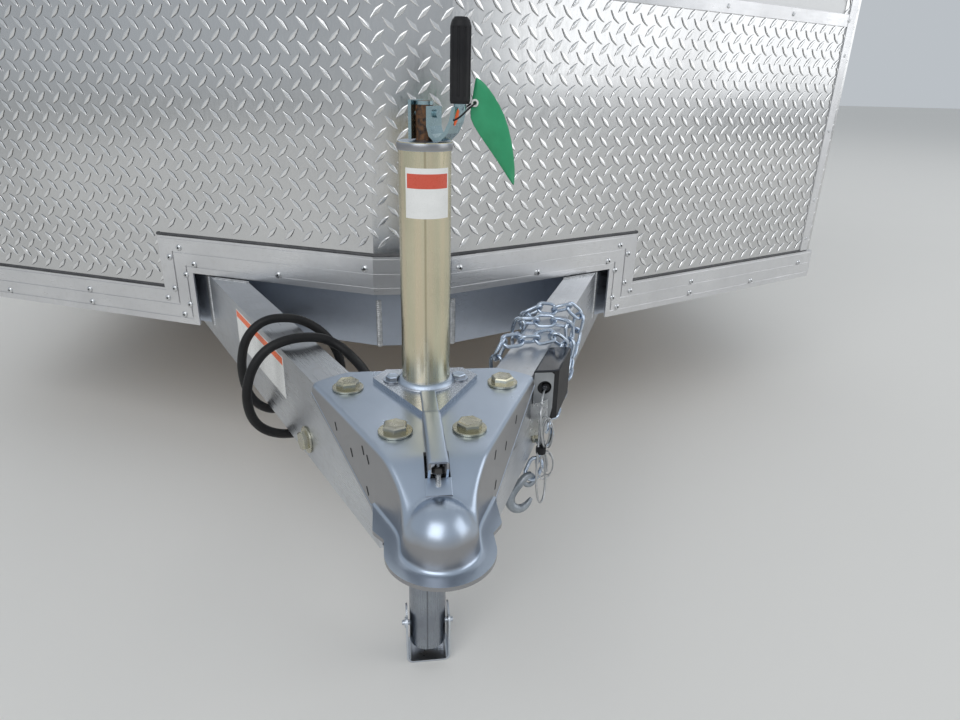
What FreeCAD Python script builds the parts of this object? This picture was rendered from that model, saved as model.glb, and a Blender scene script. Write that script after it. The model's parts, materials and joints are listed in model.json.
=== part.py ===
import FreeCAD, Part
import os
from math import acos, atan2, cos, degrees, hypot, pi, radians, sin, sqrt, tan

Vector = FreeCAD.Vector

# Enclosed cargo trailer with a V nose, millimetres, +Z up.
# The trailer faces -Y, so its left is +X and its right, with the side door, is -X.
# All Y values below are measured from the jack's axis; main() moves the whole to the middle of its length.
# The ground is Z = 0, under the tyres and the jack's foot.

# Tongue
beam_top = 420.0
beam_height = 125.0
beam_width = 50.8
beam_wall = 3.2
beam_offset = 88.0
tongue_half_angle = 25.1
beam_front_y = -140.0
beam_past_shoulder = 617.4
rail_height = 102.0

# Body plan: the outline is the outer face of the lower trim
body_width = 2101.0
box_length = 4267.0
nose_y = 384.7
nose_flat = 135.2
nose_angle = 24.97
trim_depth = 8.0
guard_thick = 2.0
wall_thick = 30.0
wall_bottom = 330.0
rail_width = 50.8
floor_thick = 19.0
inside_height = 1981.0
roof_thick = 25.0
roof_crown = 22.0

# Trim, stone guard and corner strips
# Bands of the trim's section as shares of its height; between them it is band_relief shallower.
trim_bottom = 318.0
trim_height = 68.2
raised_bottom = 421.9
raised_height = 66.2
notch_inner = 405.4
notch_outer = 469.5
trim_bands = ((0.0, 0.17), (0.205, 0.545), (0.58, 0.93))
band_relief = 1.5
guard_overlap = 20.0
guard_top = 930.6
corner_strip = 64.0
roof_trim_height = 92.0
roof_trim_lip = 26.0
roof_trim_thick = 5.0

# Under the floor
cross_pitch = 406.4
cross_height = 50.8
cross_width = 38.0
cross_wall = 3.2
nose_member_set = 25.0
nose_member_width = 38.0

# Running gear
wheel_centre_z = 344.5
tyre_width = 205.0
tread_width = 150.0
tyre_sides = 48
rim_radius = 190.5
rim_width = 152.0
rim_sheet = 6.0
rim_flange = 11.0
window_count = 8
seat_gap = 0.3
wheel_out = 139.5
axle_spacing = 864.0
axle_mid_y = 3330.0
axle_tube = 60.0
axle_bracket = 8.0
arm_length = 152.0
arm_thick = 25.0
arm_root = 34.0
arm_tip = 27.0
arm_gap = 5.0
spindle_radius = 19.0
bearing_gap = 0.05
brake_radius = 130.0
brake_sheet = 5.0
bracket_half = 70.0
# Hub and drum as (radius, distance outward); the hub's first and last rows lie on its bore
hub_profile = ((60, 0), (-70, 0), (-70, 44), (-6, 44), (-6, 68), (46, 68), (50, 36), (92, 36), (92, 0))
drum_profile = ((60, -12), (120, -12), (120, -74), (126, -74), (126, -5), (60, -5))
disc_out = (32.0, 41.0)
# One window of the disc by radius and half width in radians
window_shape = ((96, 0.22), (162, 0.27))

# Fenders
fender_cover = 6.5
fender_sheet = 3.0
fender_gap = 62.0
fender_lip = 62.0
fender_reach = 452.0
fender_bottom = 392.0
fender_slope = 190.0
fender_rise = 120.0

# Rear frame and ramp door
post_width = 74.0
rear_depth = 60.0
header_height = 92.0
ramp_gap = 6.0
ramp_thick = 48.0
hinge_pin = 6.0
hinge_barrel = 10.5
hinge_out = 14.0
hinge_drop = 9.0
hinge_gap = 0.05
hinge_leaf = 3.0
hinge_half = 50.0
hinge_count = 5
hinge_inset = 160.0
latch_rod = 11.0
latch_length = 748.0
latch_inset = 90.0
latch_out = 26.0
# Drops below the header: the rod's guides, and the top and bottom of its handle
latch_guides = (740.0, 420.0, 60.0)
latch_handle = (566.0, 596.0)
handle_reach = 330.0

# Side door
door_front_y = 1060.0
door_width = 914.0
door_header = 139.0
door_sill = 22.0
door_thick = 36.0
door_lining = 4.0
door_gap = 6.0
door_frame_face = 38.0
door_frame_proud = 6.0
door_hinge_out = 11.0
door_hinge_pin = 4.5
door_hinge_barrel = 8.0
door_hinge_half = 38.0
door_hinge_leaf = 3.5
door_hinge_inset = 190.0

# Jack
jack_radius = 28.575
jack_tube_top = 700.0
jack_tube_bottom = 242.0
jack_cap_radius = 29.6
jack_cap_thick = 7.5
jack_plate_thick = 6.0
leg_radius = 25.4
leg_wall = 3.0
leg_gap = 0.08
leg_up = 150.0
foot_strap = 5.0
foot_height = 88.0
foot_pin = 6.0
foot_pin_z = 54.0
foot_half = (31.0, 22.0)

# Jack's crank, folded upright
crank_turn = 35.0
crank_ear = 3.4
crank_half = 12.0
crank_top = 747.0
crank_pin_z = 735.0
screw_radius = 9.2
# Middle line of the crank's arm as (x, z), from its top on the screw's end round to the grip
crank_path = ((11.4, 749), (11.4, 723), (14, 714.5), (19, 710.2), (25, 711), (32.5, 718), (38, 728),
              (41, 740), (42, 755))
grip_radius = 10.4
grip_x = 42.0
grip_bottom = 745.5
grip_top = 824.0
grip_flutes = 10
flute_radius = 1.8

# Coupler: a pressed plate with skirts outside the beams, a neck and a cup for the ball
coupler_thick = 4.5
coupler_rear_y = 45.0
coupler_corner_y = 13.5
coupler_rear_half = 95.0
slope_y = -172.0
dip_y = -213.0
dip_z = 403.5
neck_half = 35.5
neck_y = -203.0
fold_radius = 6.0
ball_y = -228.0
ball_z = 376.0
dome_radius = 31.0
cup_foot = 35.5
bell_bottom = 352.5
flange_radius = 52.0
ear_half = 65.0
ear_front_y = -190.0
ear_rear_y = -145.0
skirt_low_z = 347.0
skirt_rear_z = 412.0
slot_half = 12.5
slot_y = (-197.0, -161.0)
tab_half = 10.0
tab_rise = 1.5

# Coupler's latch
latch_top = 438.5
latch_front_y = -204.0
latch_half = 10.0
latch_sheet = 3.0
latch_pin_y = -190.0
latch_pin_z = 428.0
clamp_radius = 26.6
clamp_thick = 3.6

# Safety chain round the left beam, its hook, and the breakaway switch
chain_wire = 5.6
chain_length = 37.0
chain_width = 24.0
chain_pitch = 25.1
switch_y = (35.0, 118.0)
switch_z = (352.0, 421.0)
switch_out = 30.0
switch_hole = 8.0
switch_hole_z = 398.0
wire_radius = 1.5

# Chain's path as (y, square offset from the jack's axis, z), over the left beam three times and forward
chain_path = ((108, 49, 336), (110, 49, 398), (112, 46.5, 420), (115, 51, 431.5), (119, 63, 436),
              (125, 88, 430.6), (132, 113, 436), (136, 125, 431.5), (138, 129.5, 420), (139, 128, 398),
              (141, 126, 380), (150, 126, 367), (164, 126, 362), (178, 126, 367), (187, 126, 380),
              (190, 128, 398), (191, 129.5, 420), (193, 125, 431.5), (196, 113, 436), (200, 88, 430.6),
              (204, 63, 436), (206, 51, 431.5), (207, 46.5, 420), (208, 49, 398), (211, 50, 382),
              (220, 50, 370), (233, 50, 366), (246, 50, 370), (254, 50, 382), (256, 49, 398),
              (257, 46.5, 420), (258, 51, 431.5), (259, 63, 436), (260, 88, 430.6), (261, 113, 436),
              (262, 125, 431.5), (262, 129.5, 420), (260, 127, 398), (248, 126, 374), (222, 126, 353),
              (180, 126, 337), (140, 126, 329), (96, 126, 322), (66, 126, 311), (46, 126, 292),
              (36, 119, 272), (33, 112, 248))
hook_thick = 8.0
eye_radius = 5.2
eye_sag = 1.0
hook_radius = 18.0
# Pull wire's path in the same terms, from the switch down to its tie, round both bights and back
wire_path = ((35.6, 128, 398), (16, 129, 397), (4, 131, 382), (1, 133, 356), (3, 135, 326), (14, 138, 296),
             (17, 140, 266), (7, 141, 246), (-10, 139.5, 248), (-16, 136, 270), (-10, 133, 298),
             (-1, 131.6, 326), (10, 130, 350), (12, 130, 378), (6, 131, 389), (-7, 132.5, 389),
             (-13, 134, 378), (-13, 136.5, 356), (0, 138.4, 326), (17, 139, 302), (27, 139, 276))

# Supply cable's path from the nose member: square offset, distance along the right beam, height
cable_radius = 6.75
cable_path = ((14.0, 554.45, 342), (38.54, 533.91, 342), (49.5, 505, 341), (50, 470, 338), (50, 432, 328),
              (50, 390, 306), (58, 350, 284), (80, 328, 272), (110, 317, 279), (134, 311, 302),
              (146, 307, 337), (147, 304, 376), (137, 302, 412), (110, 298, 436), (72, 293, 435),
              (46, 287, 424), (22, 278, 402), (8, 268, 372), (8, 258, 338), (20, 249, 303), (47, 241, 279),
              (82, 235, 271), (118, 229, 279), (146, 225, 297), (162, 219, 325), (165, 216, 362),
              (154, 214, 399), (131, 213, 424), (98, 210, 433.5), (58, 206, 430), (34, 194, 416),
              (24, 166, 403), (27, 128, 402), (38, 76, 403), (41, 45, 370), (41, 44, 326))
# Plug on the cable's end, hanging beside the jack's tube: radius and drop from the cable's end
plug_gap = 0.3
plug_profile = ((0, 0), (8.5, 0), (11.5, 20), (17.5, 25), (20.6, 29), (20.6, 61), (21.3, 62), (21.3, 80),
                (17, 80), (17, 70), (0, 70))

# Lamps and the side door's latch
tail_lamp = (150.0, 52.0, 16.0)
tail_lamp_z = 1010.0
marker_lamp = (64.0, 20.0, 14.0)
marker_drop = 140.0
paddle = (120.0, 96.0, 9.0)
paddle_z = 1250.0

beta = radians(tongue_half_angle)
nose_slope = tan(radians(nose_angle))
half_flat = nose_flat / 2
half_body = body_width / 2
shoulder_y = nose_y + (half_body - half_flat) * nose_slope
rear_y = shoulder_y + box_length
beam_rear_y = shoulder_y + beam_past_shoulder
beam_bottom = beam_top - beam_height
rail_bottom = beam_top - rail_height
beam_near = beam_offset - beam_width / 2
beam_far = beam_offset + beam_width / 2
floor_top = beam_top + floor_thick
ceiling = floor_top + inside_height
skin = -(trim_depth + guard_thick)
inner = skin - wall_thick
plate_top = beam_top + coupler_thick
wheel_x = half_body + wheel_out
fender_out = wheel_x + tyre_width / 2 + fender_cover
door_height = inside_height - door_sill - door_header


def box(x0, x1, y0, y1, z0, z1):
    return Part.makeBox(x1 - x0, y1 - y0, z1 - z0, Vector(x0, y0, z0))


def face(points):
    """A flat face through points given as triples."""
    corners = [Vector(*point) for point in points]
    return Part.Face(Part.makePolygon(corners + corners[:1]))


def prism(outline, z0, z1):
    """An outline of (x, y) pairs, raised from z0 to z1."""
    return face([(x, y, z0) for x, y in outline]).extrude(Vector(0, 0, z1 - z0))


def slab_x(outline, x0, x1):
    """An outline of (y, z) pairs, drawn out from x0 to x1."""
    return face([(x0, y, z) for y, z in outline]).extrude(Vector(x1 - x0, 0, 0))


def slab_y(outline, y0, y1):
    """An outline of (x, z) pairs, drawn out from y0 to y1."""
    return face([(x, y0, z) for x, z in outline]).extrude(Vector(0, y1 - y0, 0))


def rod(start, end, radius):
    start, end = Vector(*start), Vector(*end)
    return Part.makeCylinder(radius, (end - start).Length, start, end - start)


def join(shapes):
    whole = shapes[0]
    for shape in shapes[1:]:
        whole = whole.fuse(shape)
    return whole.removeSplitter()


def mirrored(shape):
    return shape.mirror(Vector(0, 0, 0), Vector(1, 0, 0))


def outline(offset, end_y):
    """Body plan as (x, y) pairs, moved out by offset, from the nose back to end_y."""
    side = half_body + offset
    flat_y = nose_y - offset
    flat_x = half_flat + offset * tan(radians(nose_angle) / 2)
    bend_y = flat_y + (side - flat_x) * nose_slope
    return [(-side, end_y), (-side, bend_y), (-flat_x, flat_y), (flat_x, flat_y), (side, bend_y),
            (side, end_y)]


def ring(outer, inner_offset, z0, z1, end_y):
    """A band that follows the body plan between two offsets, open at end_y."""
    return prism(outline(outer, end_y), z0, z1).cut(prism(outline(inner_offset, end_y + 1), z0 - 1, z1 + 1))


def nose_bend(offset):
    """Y of the corner between the nose and the side, on the outline moved out by offset."""
    return outline(offset, 0)[1][1]


def beam_x(y, offset):
    """X at y of a line along the left tongue beam, at a square offset from the jack's axis."""
    return y * tan(beta) + offset / cos(beta)


def beam_outline(inset, front, rear):
    near = beam_near + inset
    far = beam_far - inset
    return [(beam_x(front, near), front), (beam_x(front, far), front), (beam_x(rear, far), rear),
            (beam_x(rear, near), rear)]


def tongue_beam():
    outer = prism(beam_outline(0, beam_front_y, beam_rear_y), beam_bottom, beam_top)
    hollow = prism(beam_outline(beam_wall, beam_front_y - 1, beam_rear_y + 1), beam_bottom + beam_wall,
                   beam_top - beam_wall)
    return outer.cut(hollow)


def beam_space():
    left = prism(beam_outline(0, beam_front_y, beam_rear_y), beam_bottom - 1, beam_top)
    return left.fuse(mirrored(left))


def nose_member():
    """The bent cross-member behind the nose trim, welded between and outside the beams."""
    front = -nose_member_set
    member = ring(front, front - nose_member_width, rail_bottom, beam_top, nose_bend(inner))
    limit = half_body + inner - rail_width
    member = member.common(box(-limit, limit, 0, rear_y, 0, beam_top))
    return member.cut(beam_space())


def main_rail():
    outer_x = half_body + inner
    start = nose_bend(inner)
    tube = box(outer_x - rail_width, outer_x, start, rear_y - rear_depth, rail_bottom, beam_top)
    hollow = box(outer_x - rail_width + beam_wall, outer_x - beam_wall, start + beam_wall,
                 rear_y - rear_depth - beam_wall, rail_bottom + beam_wall, beam_top - beam_wall)
    return tube.cut(hollow)


def cross_members():
    """Channels under the floor from rail to rail, cut where the tongue beams pass."""
    reach = half_body + inner - rail_width
    section = [(0, 0), (cross_width, 0), (cross_width, cross_wall), (cross_wall, cross_wall),
               (cross_wall, cross_height - cross_wall), (cross_width, cross_height - cross_wall),
               (cross_width, cross_height), (0, cross_height)]
    space = beam_space()
    pieces = []
    y = nose_bend(inner) + 150.0
    while y < rear_y - rear_depth - cross_width - 20.0:
        profile = [(y + a, beam_top - cross_height + b) for a, b in section]
        pieces += slab_x(profile, -reach, reach).cut(space).Solids
        y += cross_pitch
    return pieces


def floor():
    end = rear_y - rear_depth
    return prism(outline(inner, end), beam_top, floor_top)


def nose_wall():
    """Both slopes and the flat of the nose above the frame, down to the trim outside the beams."""
    wall = ring(skin, inner, wall_bottom, ceiling, nose_bend(skin))
    wall = wall.cut(prism(outline(-nose_member_set, rear_y), 0, beam_top))
    return wall.cut(box(-notch_outer, notch_outer, 0, rear_y, 0, raised_bottom + 1))


def side_wall():
    start = nose_bend(skin)
    return box(half_body + inner, half_body + skin, start, rear_y - rear_depth, wall_bottom, ceiling)


def doorway(grow):
    """Space of the side door's hole, on the right, wider by grow all round."""
    z0 = floor_top + door_sill
    return box(-half_body, -half_body - inner, door_front_y - grow, door_front_y + door_width + grow,
               z0 - grow, z0 + door_height + grow)


def roof():
    """A bowed panel over the whole plan."""
    half = half_body + skin
    edge = ceiling + roof_thick
    arc = Part.Arc(Vector(half, 0, edge), Vector(0, 0, edge + roof_crown), Vector(-half, 0, edge)).toShape()
    flat = [Part.makeLine(Vector(*a), Vector(*b)) for a, b in
            (((-half, 0, edge), (-half, 0, ceiling)), ((-half, 0, ceiling), (half, 0, ceiling)),
             ((half, 0, ceiling), (half, 0, edge)))]
    bowed = Part.Face(Part.Wire([arc] + flat)).extrude(Vector(0, rear_y, 0))
    return bowed.common(prism(outline(skin, rear_y), ceiling, edge + roof_crown + 1))


def roof_trim():
    """Rail round the top edge, with a lip over the roof."""
    edge = ceiling + roof_thick
    bottom = edge - roof_trim_height
    band = ring(skin + roof_trim_thick, skin, bottom, edge, rear_y)
    lip = ring(skin + roof_trim_thick, skin - roof_trim_lip, edge, edge + roof_trim_thick, rear_y)
    roof_space = roof()
    return band.fuse(lip).removeSplitter().cut(roof_space)


def nose_guard():
    """Tread-plate sheet on the lower nose, and its strips up both corners."""
    end = nose_bend(-trim_depth)
    sheet = ring(-trim_depth, skin, wall_bottom, guard_top, end)
    hidden = notch_outer - guard_overlap
    gap = box(-hidden, hidden, 0, end, 0, raised_bottom + guard_overlap)
    reach = corner_strip * cos(radians(nose_angle))
    top = ceiling + roof_thick - roof_trim_height
    strips = ring(-trim_depth, skin, guard_top, top, end)
    strips = strips.cut(box(-half_body + reach, half_body - reach, 0, rear_y, 0, ceiling))
    return sheet.fuse(strips).removeSplitter().cut(gap)


def trim_line(share):
    """The left half of the trim, seen from the front, as (x, z) at a share of its height."""
    x = notch_inner + share * (notch_outer - notch_inner)
    upper = raised_bottom + share * raised_height
    lower = trim_bottom + share * trim_height
    return [(0, upper), (x, upper), (x, lower), (half_body + 1, lower)]


def nose_trim():
    """Lower trim of the nose, stepped up over the tongue beams, with its bands mitred at the corners."""
    end = nose_bend(0)

    def band(low, high, outer):
        left = slab_y(trim_line(low) + trim_line(high)[::-1], 0, end)
        both = left.fuse(mirrored(left)).removeSplitter()
        return both.common(ring(outer, -trim_depth, trim_bottom - 1, ceiling, end))
    return join([band(0, 1, -band_relief)] + [band(low, high, 0) for low, high in trim_bands])


def side_trim():
    """The same section along the left side, behind the corner strip."""
    start = nose_bend(0)
    pieces = [box(half_body + skin, half_body - band_relief, start, rear_y, trim_bottom,
                  trim_bottom + trim_height)]
    for low, high in trim_bands:
        pieces.append(box(half_body + skin, half_body, start, rear_y, trim_bottom + low * trim_height,
                          trim_bottom + high * trim_height))
    return join(pieces).cut(box(half_body + skin, half_body - trim_depth, start, nose_bend(-trim_depth), 0,
                                ceiling))


def axle(y):
    """Torsion tube under the rails, with its arms, spindles and brake plates."""
    tube_top = rail_bottom - axle_bracket
    tube_z = tube_top - axle_tube / 2
    rise = wheel_centre_z - tube_z
    run = sqrt(arm_length ** 2 - rise ** 2)
    pivot_y = y - run
    arm_in = half_body + arm_gap
    half = axle_tube / 2
    parts = [box(-arm_in, arm_in, pivot_y - half, pivot_y + half, tube_z - half, tube_z + half)]
    rail_in = half_body + inner - rail_width
    for side in (1, -1):
        arm = [rod((side * arm_in, pivot_y, tube_z), (side * (arm_in + arm_thick), pivot_y, tube_z),
                   arm_root), rod((side * arm_in, y, wheel_centre_z),
                                  (side * (arm_in + arm_thick), y, wheel_centre_z), arm_tip)]
        lean = Vector(0, -rise, run).normalize()
        corners = []
        for cy, cz, r in ((pivot_y, tube_z, arm_root), (y, wheel_centre_z, arm_tip)):
            corners.append((cy + lean.y * r, cz + lean.z * r))
            corners.append((cy - lean.y * r, cz - lean.z * r))
        web = [corners[0], corners[2], corners[3], corners[1]]
        arm.append(slab_x(web, side * arm_in, side * (arm_in + arm_thick)))
        arm.append(rod((side * (arm_in + arm_thick), y, wheel_centre_z),
                       (side * (wheel_x + 46), y, wheel_centre_z), spindle_radius))
        brake_x = wheel_x - rim_width / 2 - 16
        arm.append(rod((side * brake_x, y, wheel_centre_z),
                       (side * (brake_x + brake_sheet), y, wheel_centre_z), brake_radius))
        arm.append(box(min(side * rail_in, side * (rail_in + rail_width)),
                       max(side * rail_in, side * (rail_in + rail_width)),
                       pivot_y - bracket_half, pivot_y + bracket_half, tube_top, rail_bottom))
        parts.append(join(arm))
    return join(parts)


def turned(profile, x, y):
    """A profile of (radius, distance outward) pairs, turned about a left wheel's axle."""
    points = [(x + out, y, wheel_centre_z + r) for r, out in profile]
    return face(points).revolve(Vector(x, y, wheel_centre_z), Vector(1, 0, 0), 360)


def turned_flat(profile, x, y):
    """The same in tyre_sides flat steps whose middles lie on the profile, one of them facing down."""
    step = 2 * pi / tyre_sides
    swell = 1 / cos(step / 2)
    rows = []
    for k in range(tyre_sides):
        angle = (k + 0.5) * step - pi / 2
        rows.append([Vector(x + out, y + r * swell * cos(angle), wheel_centre_z + r * swell * sin(angle))
                     for r, out in profile])
    sides = []
    for k, row in enumerate(rows):
        following = rows[(k + 1) % tyre_sides]
        for i in range(len(profile)):
            j = (i + 1) % len(profile)
            corners = [row[i], row[j], following[j], following[i]]
            sides.append(Part.Face(Part.makePolygon(corners + corners[:1])))
    solid = Part.Solid(Part.Shell(sides))
    if solid.Volume < 0:
        solid.reverse()
    return solid


def tyre(y):
    """Profile by (radius, distance outward): bead, sidewall, shoulder and tread."""
    half = tyre_width / 2
    tread = tread_width / 2
    top = wheel_centre_z
    bead = rim_width / 2 - seat_gap
    outer = [(rim_radius, bead), (rim_radius + 13, bead), (262, half), (top - 26, half - 5),
             (top, tread - 7)]
    profile = [(r, -out) for r, out in outer] + [(r, out) for r, out in reversed(outer)]
    return turned_flat(profile, wheel_x, y)


def rim(y):
    """Wheel with its hub and brake drum, bored for the spindle."""
    bead = rim_width / 2
    seat = rim_radius - seat_gap
    inside = rim_radius - rim_sheet
    edge = rim_radius + rim_flange
    barrel = turned_flat([(inside, -bead - 7.5), (edge, -bead - 7.5), (edge, -bead), (seat, -bead),
                          (seat, bead), (edge, bead), (edge, bead + 7.5), (inside, bead + 7.5)], wheel_x, y)
    bore = spindle_radius + bearing_gap
    near, far = disc_out
    disc = turned_flat([(60, near), (inside + 1, near), (inside + 1, far), (60, far)], wheel_x, y)
    for k in range(window_count):
        disc = disc.cut(window(k * 2 * pi / window_count, y))
    profile = [(r or (bore if out < far + 20 else 0), out) for out, r in hub_profile]
    hub = turned([(0, profile[0][1])] + profile, wheel_x, y)
    drum = turned_flat(drum_profile, wheel_x, y)
    return join([barrel, disc, hub, drum])


def window(angle, y):
    """One opening of the wheel's disc, wider outward."""
    corners = []
    for side in (1, -1):
        for radius, spread in window_shape[::side]:
            turn = angle + side * spread
            corners.append((wheel_x, y + radius * cos(turn), wheel_centre_z + radius * sin(turn)))
    return face(corners).extrude(Vector(disc_out[1] + 10, 0, 0))


def fender():
    """Folded sheet over both wheels of the left side."""
    front = axle_mid_y - axle_spacing / 2 - fender_reach
    back = axle_mid_y + axle_spacing / 2 + fender_reach
    top = 2 * wheel_centre_z + fender_gap
    wall_x = half_body + skin

    def path(inset):
        knee = fender_bottom + fender_rise - inset * 0.4
        along = fender_slope + inset * 0.4
        return [(front + inset, fender_bottom), (front + inset, knee), (front + along, top - inset),
                (back - along, top - inset), (back - inset, knee), (back - inset, fender_bottom)]
    sheet = slab_x(path(0), wall_x, fender_out).cut(slab_x(path(fender_sheet), wall_x - 1, fender_out + 1))
    lip = slab_x(path(0), fender_out - fender_sheet, fender_out)
    hole = [(y, z - 1 if z == fender_bottom else z) for y, z in path(fender_lip)]
    lip = lip.cut(slab_x(hole, fender_out - fender_sheet - 1, fender_out + 1))
    whole = sheet.fuse(lip).removeSplitter()
    return whole.cut(side_trim())


def rear_frame():
    """Portal at the back: two posts, a sill and a header."""
    half = half_body + skin
    outer = [(-half, trim_bottom), (half, trim_bottom), (half, ceiling), (-half, ceiling)]
    opening = half - post_width
    hole = [(-opening, floor_top), (opening, floor_top), (opening, ceiling - header_height),
            (-opening, ceiling - header_height)]
    frame = slab_y(outer, rear_y - rear_depth, rear_y)
    return frame.cut(slab_y(hole, rear_y - rear_depth - 1, rear_y + 1))


def ramp_hinge_z():
    return floor_top + ramp_gap - hinge_drop


def ramp_knuckles():
    """Places of the ramp hinges: the x of each one's middle."""
    half = half_body + skin - post_width - hinge_inset
    return [-half + k * 2 * half / (hinge_count - 1) for k in range(hinge_count)]


def ramp_hinge_fixed():
    """Leaves and outer knuckles on the sill, each with its pin."""
    y = rear_y + hinge_out
    z = ramp_hinge_z()
    third = hinge_half / 3
    pieces = []
    for x in ramp_knuckles():
        parts = [box(x - hinge_half, x + hinge_half, rear_y, rear_y + hinge_leaf, z - 44, z)]
        for x0, x1 in ((x - hinge_half, x - third), (x + third, x + hinge_half)):
            parts.append(slab_x([(rear_y, z), (rear_y, z - 14), (y, z - hinge_barrel), (y, z)], x0, x1))
            parts.append(rod((x0, y, z), (x1, y, z), hinge_barrel))
        parts.append(rod((x - hinge_half, y, z), (x + hinge_half, y, z), hinge_pin))
        pieces.append(join(parts))
    return pieces


def ramp_door():
    half = half_body + skin - post_width - ramp_gap
    bottom = floor_top + ramp_gap
    top = ceiling - header_height - ramp_gap
    panel = box(-half, half, rear_y - ramp_thick, rear_y, bottom, top)
    y = rear_y + hinge_out
    z = ramp_hinge_z()
    third = hinge_half / 3 - 0.5
    for x in ramp_knuckles():
        knuckle = rod((x - third, y, z), (x + third, y, z), hinge_barrel)
        arm = slab_x([(rear_y, bottom), (rear_y, bottom + 60), (rear_y + 4, bottom + 60), (y + 4, z + 9),
                      (y, z)], x - third, x + third)
        panel = panel.fuse(knuckle.fuse(arm))
        panel = panel.cut(rod((x - third - 1, y, z), (x + third + 1, y, z), hinge_pin + hinge_gap))
    return panel.removeSplitter()


def ramp_latch():
    """Bar locks of the ramp door: rod, brackets and handle on each side."""
    top = ceiling - header_height
    y = rear_y + latch_out
    pieces = []
    for side in (1, -1):
        x = side * (half_body + skin - post_width - latch_inset)
        parts = [rod((x, y, top - 12 - latch_length), (x, y, top - 12), latch_rod)]
        for drop in latch_guides:
            z = top - drop
            parts.append(box(x - 34, x + 34, rear_y, rear_y + 5, z - 20, z + 20))
            parts.append(box(x - 16, x + 16, rear_y + 5, y + 15, z - 16, z + 16))
        reach = x - side * handle_reach
        high, low = latch_handle
        parts.append(box(min(x, reach), max(x, reach), y + 2, y + 10, top - low, top - high))
        pieces.append(join(parts))
    return pieces


def side_door_frame():
    z0 = floor_top + door_sill
    y0, y1, z1 = door_front_y, door_front_y + door_width, z0 + door_height
    x_skin = -(half_body + skin)
    rim_face = door_frame_face
    outer = box(x_skin - door_frame_proud, x_skin, y0 - rim_face, y1 + rim_face, z0 - rim_face,
                z1 + rim_face)
    lining = box(x_skin, -(half_body + inner), y0, y1, z0, z1)
    hole = box(x_skin - 20, -(half_body + inner) + 1, y0 + door_lining, y1 - door_lining, z0 + door_lining,
               z1 - door_lining)
    return outer.fuse(lining).removeSplitter().cut(hole)


def door_hinge_axis():
    x_skin = -(half_body + skin)
    return x_skin - door_frame_proud - door_hinge_out, door_front_y + door_lining + door_gap / 2


def side_door():
    z0 = floor_top + door_sill + door_lining + door_gap
    z1 = floor_top + door_sill + door_height - door_lining - door_gap
    x_out = -(half_body + skin) - door_frame_proud
    edge = door_lining + door_gap
    panel = box(x_out, x_out + door_thick, door_front_y + edge, door_front_y + door_width - edge, z0, z1)
    x, y = door_hinge_axis()
    for z in door_hinge_heights():
        leaf = box(x_out - door_hinge_leaf, x_out, y, y + 62, z - door_hinge_half, z + door_hinge_half)
        link = box(x, x_out, y, y + 8, z + 0.5, z + door_hinge_half)
        knuckle = rod((x, y, z + 0.5), (x, y, z + door_hinge_half), door_hinge_barrel)
        leaf = leaf.fuse(link.fuse(knuckle)).cut(
            rod((x, y, z - door_hinge_half - 1), (x, y, z), door_hinge_barrel + 2))
        panel = panel.fuse(leaf).cut(rod((x, y, z - 1), (x, y, z + door_hinge_half + 1),
                                         door_hinge_pin + hinge_gap))
    return panel.removeSplitter()


def door_hinge_heights():
    z0 = floor_top + door_sill
    return [z0 + door_hinge_inset + k * (door_height - 2 * door_hinge_inset) / 2 for k in range(3)]


def side_door_hinges():
    """Fixed halves of the side door's hinges, each with its pin."""
    x, y = door_hinge_axis()
    x_face = -(half_body + skin) - door_frame_proud
    pieces = []
    for z in door_hinge_heights():
        leaf = box(x_face - door_hinge_leaf, x_face, y - 38, y, z - door_hinge_half, z + door_hinge_half)
        leaf = leaf.cut(rod((x, y, z), (x, y, z + door_hinge_half + 1), door_hinge_barrel + 2))
        link = box(x, x_face, y - 8, y, z - door_hinge_half, z - 0.5)
        knuckle = rod((x, y, z - door_hinge_half), (x, y, z - 0.5), door_hinge_barrel)
        pin = rod((x, y, z - door_hinge_half), (x, y, z + door_hinge_half), door_hinge_pin)
        pieces.append(join([leaf, link, knuckle, pin]))
    return pieces


def jack_tube():
    """Outer tube with its cap, its plate on the coupler and the weld between them."""
    cap = Part.makeCylinder(jack_cap_radius, jack_cap_thick, Vector(0, 0, jack_tube_top))
    height = jack_tube_top - jack_tube_bottom
    tube = Part.makeCylinder(jack_radius, height, Vector(0, 0, jack_tube_bottom))
    bore = Part.makeCylinder(leg_radius + leg_gap, height - 10, Vector(0, 0, jack_tube_bottom))
    plate = prism([(-48, 36), (48, 36), (64, 12), (6, -90), (-6, -90), (-64, 12)], plate_top,
                  plate_top + jack_plate_thick)
    weld = Part.makeCone(jack_radius + 7, jack_radius, 7, Vector(0, 0, plate_top + jack_plate_thick))
    return join([tube, cap, plate, weld]).cut(bore)


def jack_leg():
    height = jack_tube_top - 14 - leg_up - 26
    tube = Part.makeCylinder(leg_radius, height, Vector(0, 0, 26))
    tube = tube.cut(Part.makeCylinder(leg_radius - leg_wall, height - 10, Vector(0, 0, 25)))
    return tube.cut(rod((-40, 0, foot_pin_z), (40, 0, foot_pin_z), foot_pin + 0.1))


def jack_foot():
    """Bent strap under the leg, held by a cross pin."""
    half_x, half_y = foot_half
    parts = [box(-half_x, half_x, -half_y, half_y, 0, foot_strap)]
    near = leg_radius + 0.3
    for side in (1, -1):
        x0, x1 = sorted((side * near, side * (near + foot_strap)))
        ear = [(-half_y, 0), (half_y, 0), (half_y, 40), (half_y - 10, foot_height),
               (10 - half_y, foot_height), (-half_y, 40)]
        parts.append(slab_x(ear, x0, x1))
    parts.append(rod((-38, 0, foot_pin_z), (38, 0, foot_pin_z), foot_pin))
    return join(parts)


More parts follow.
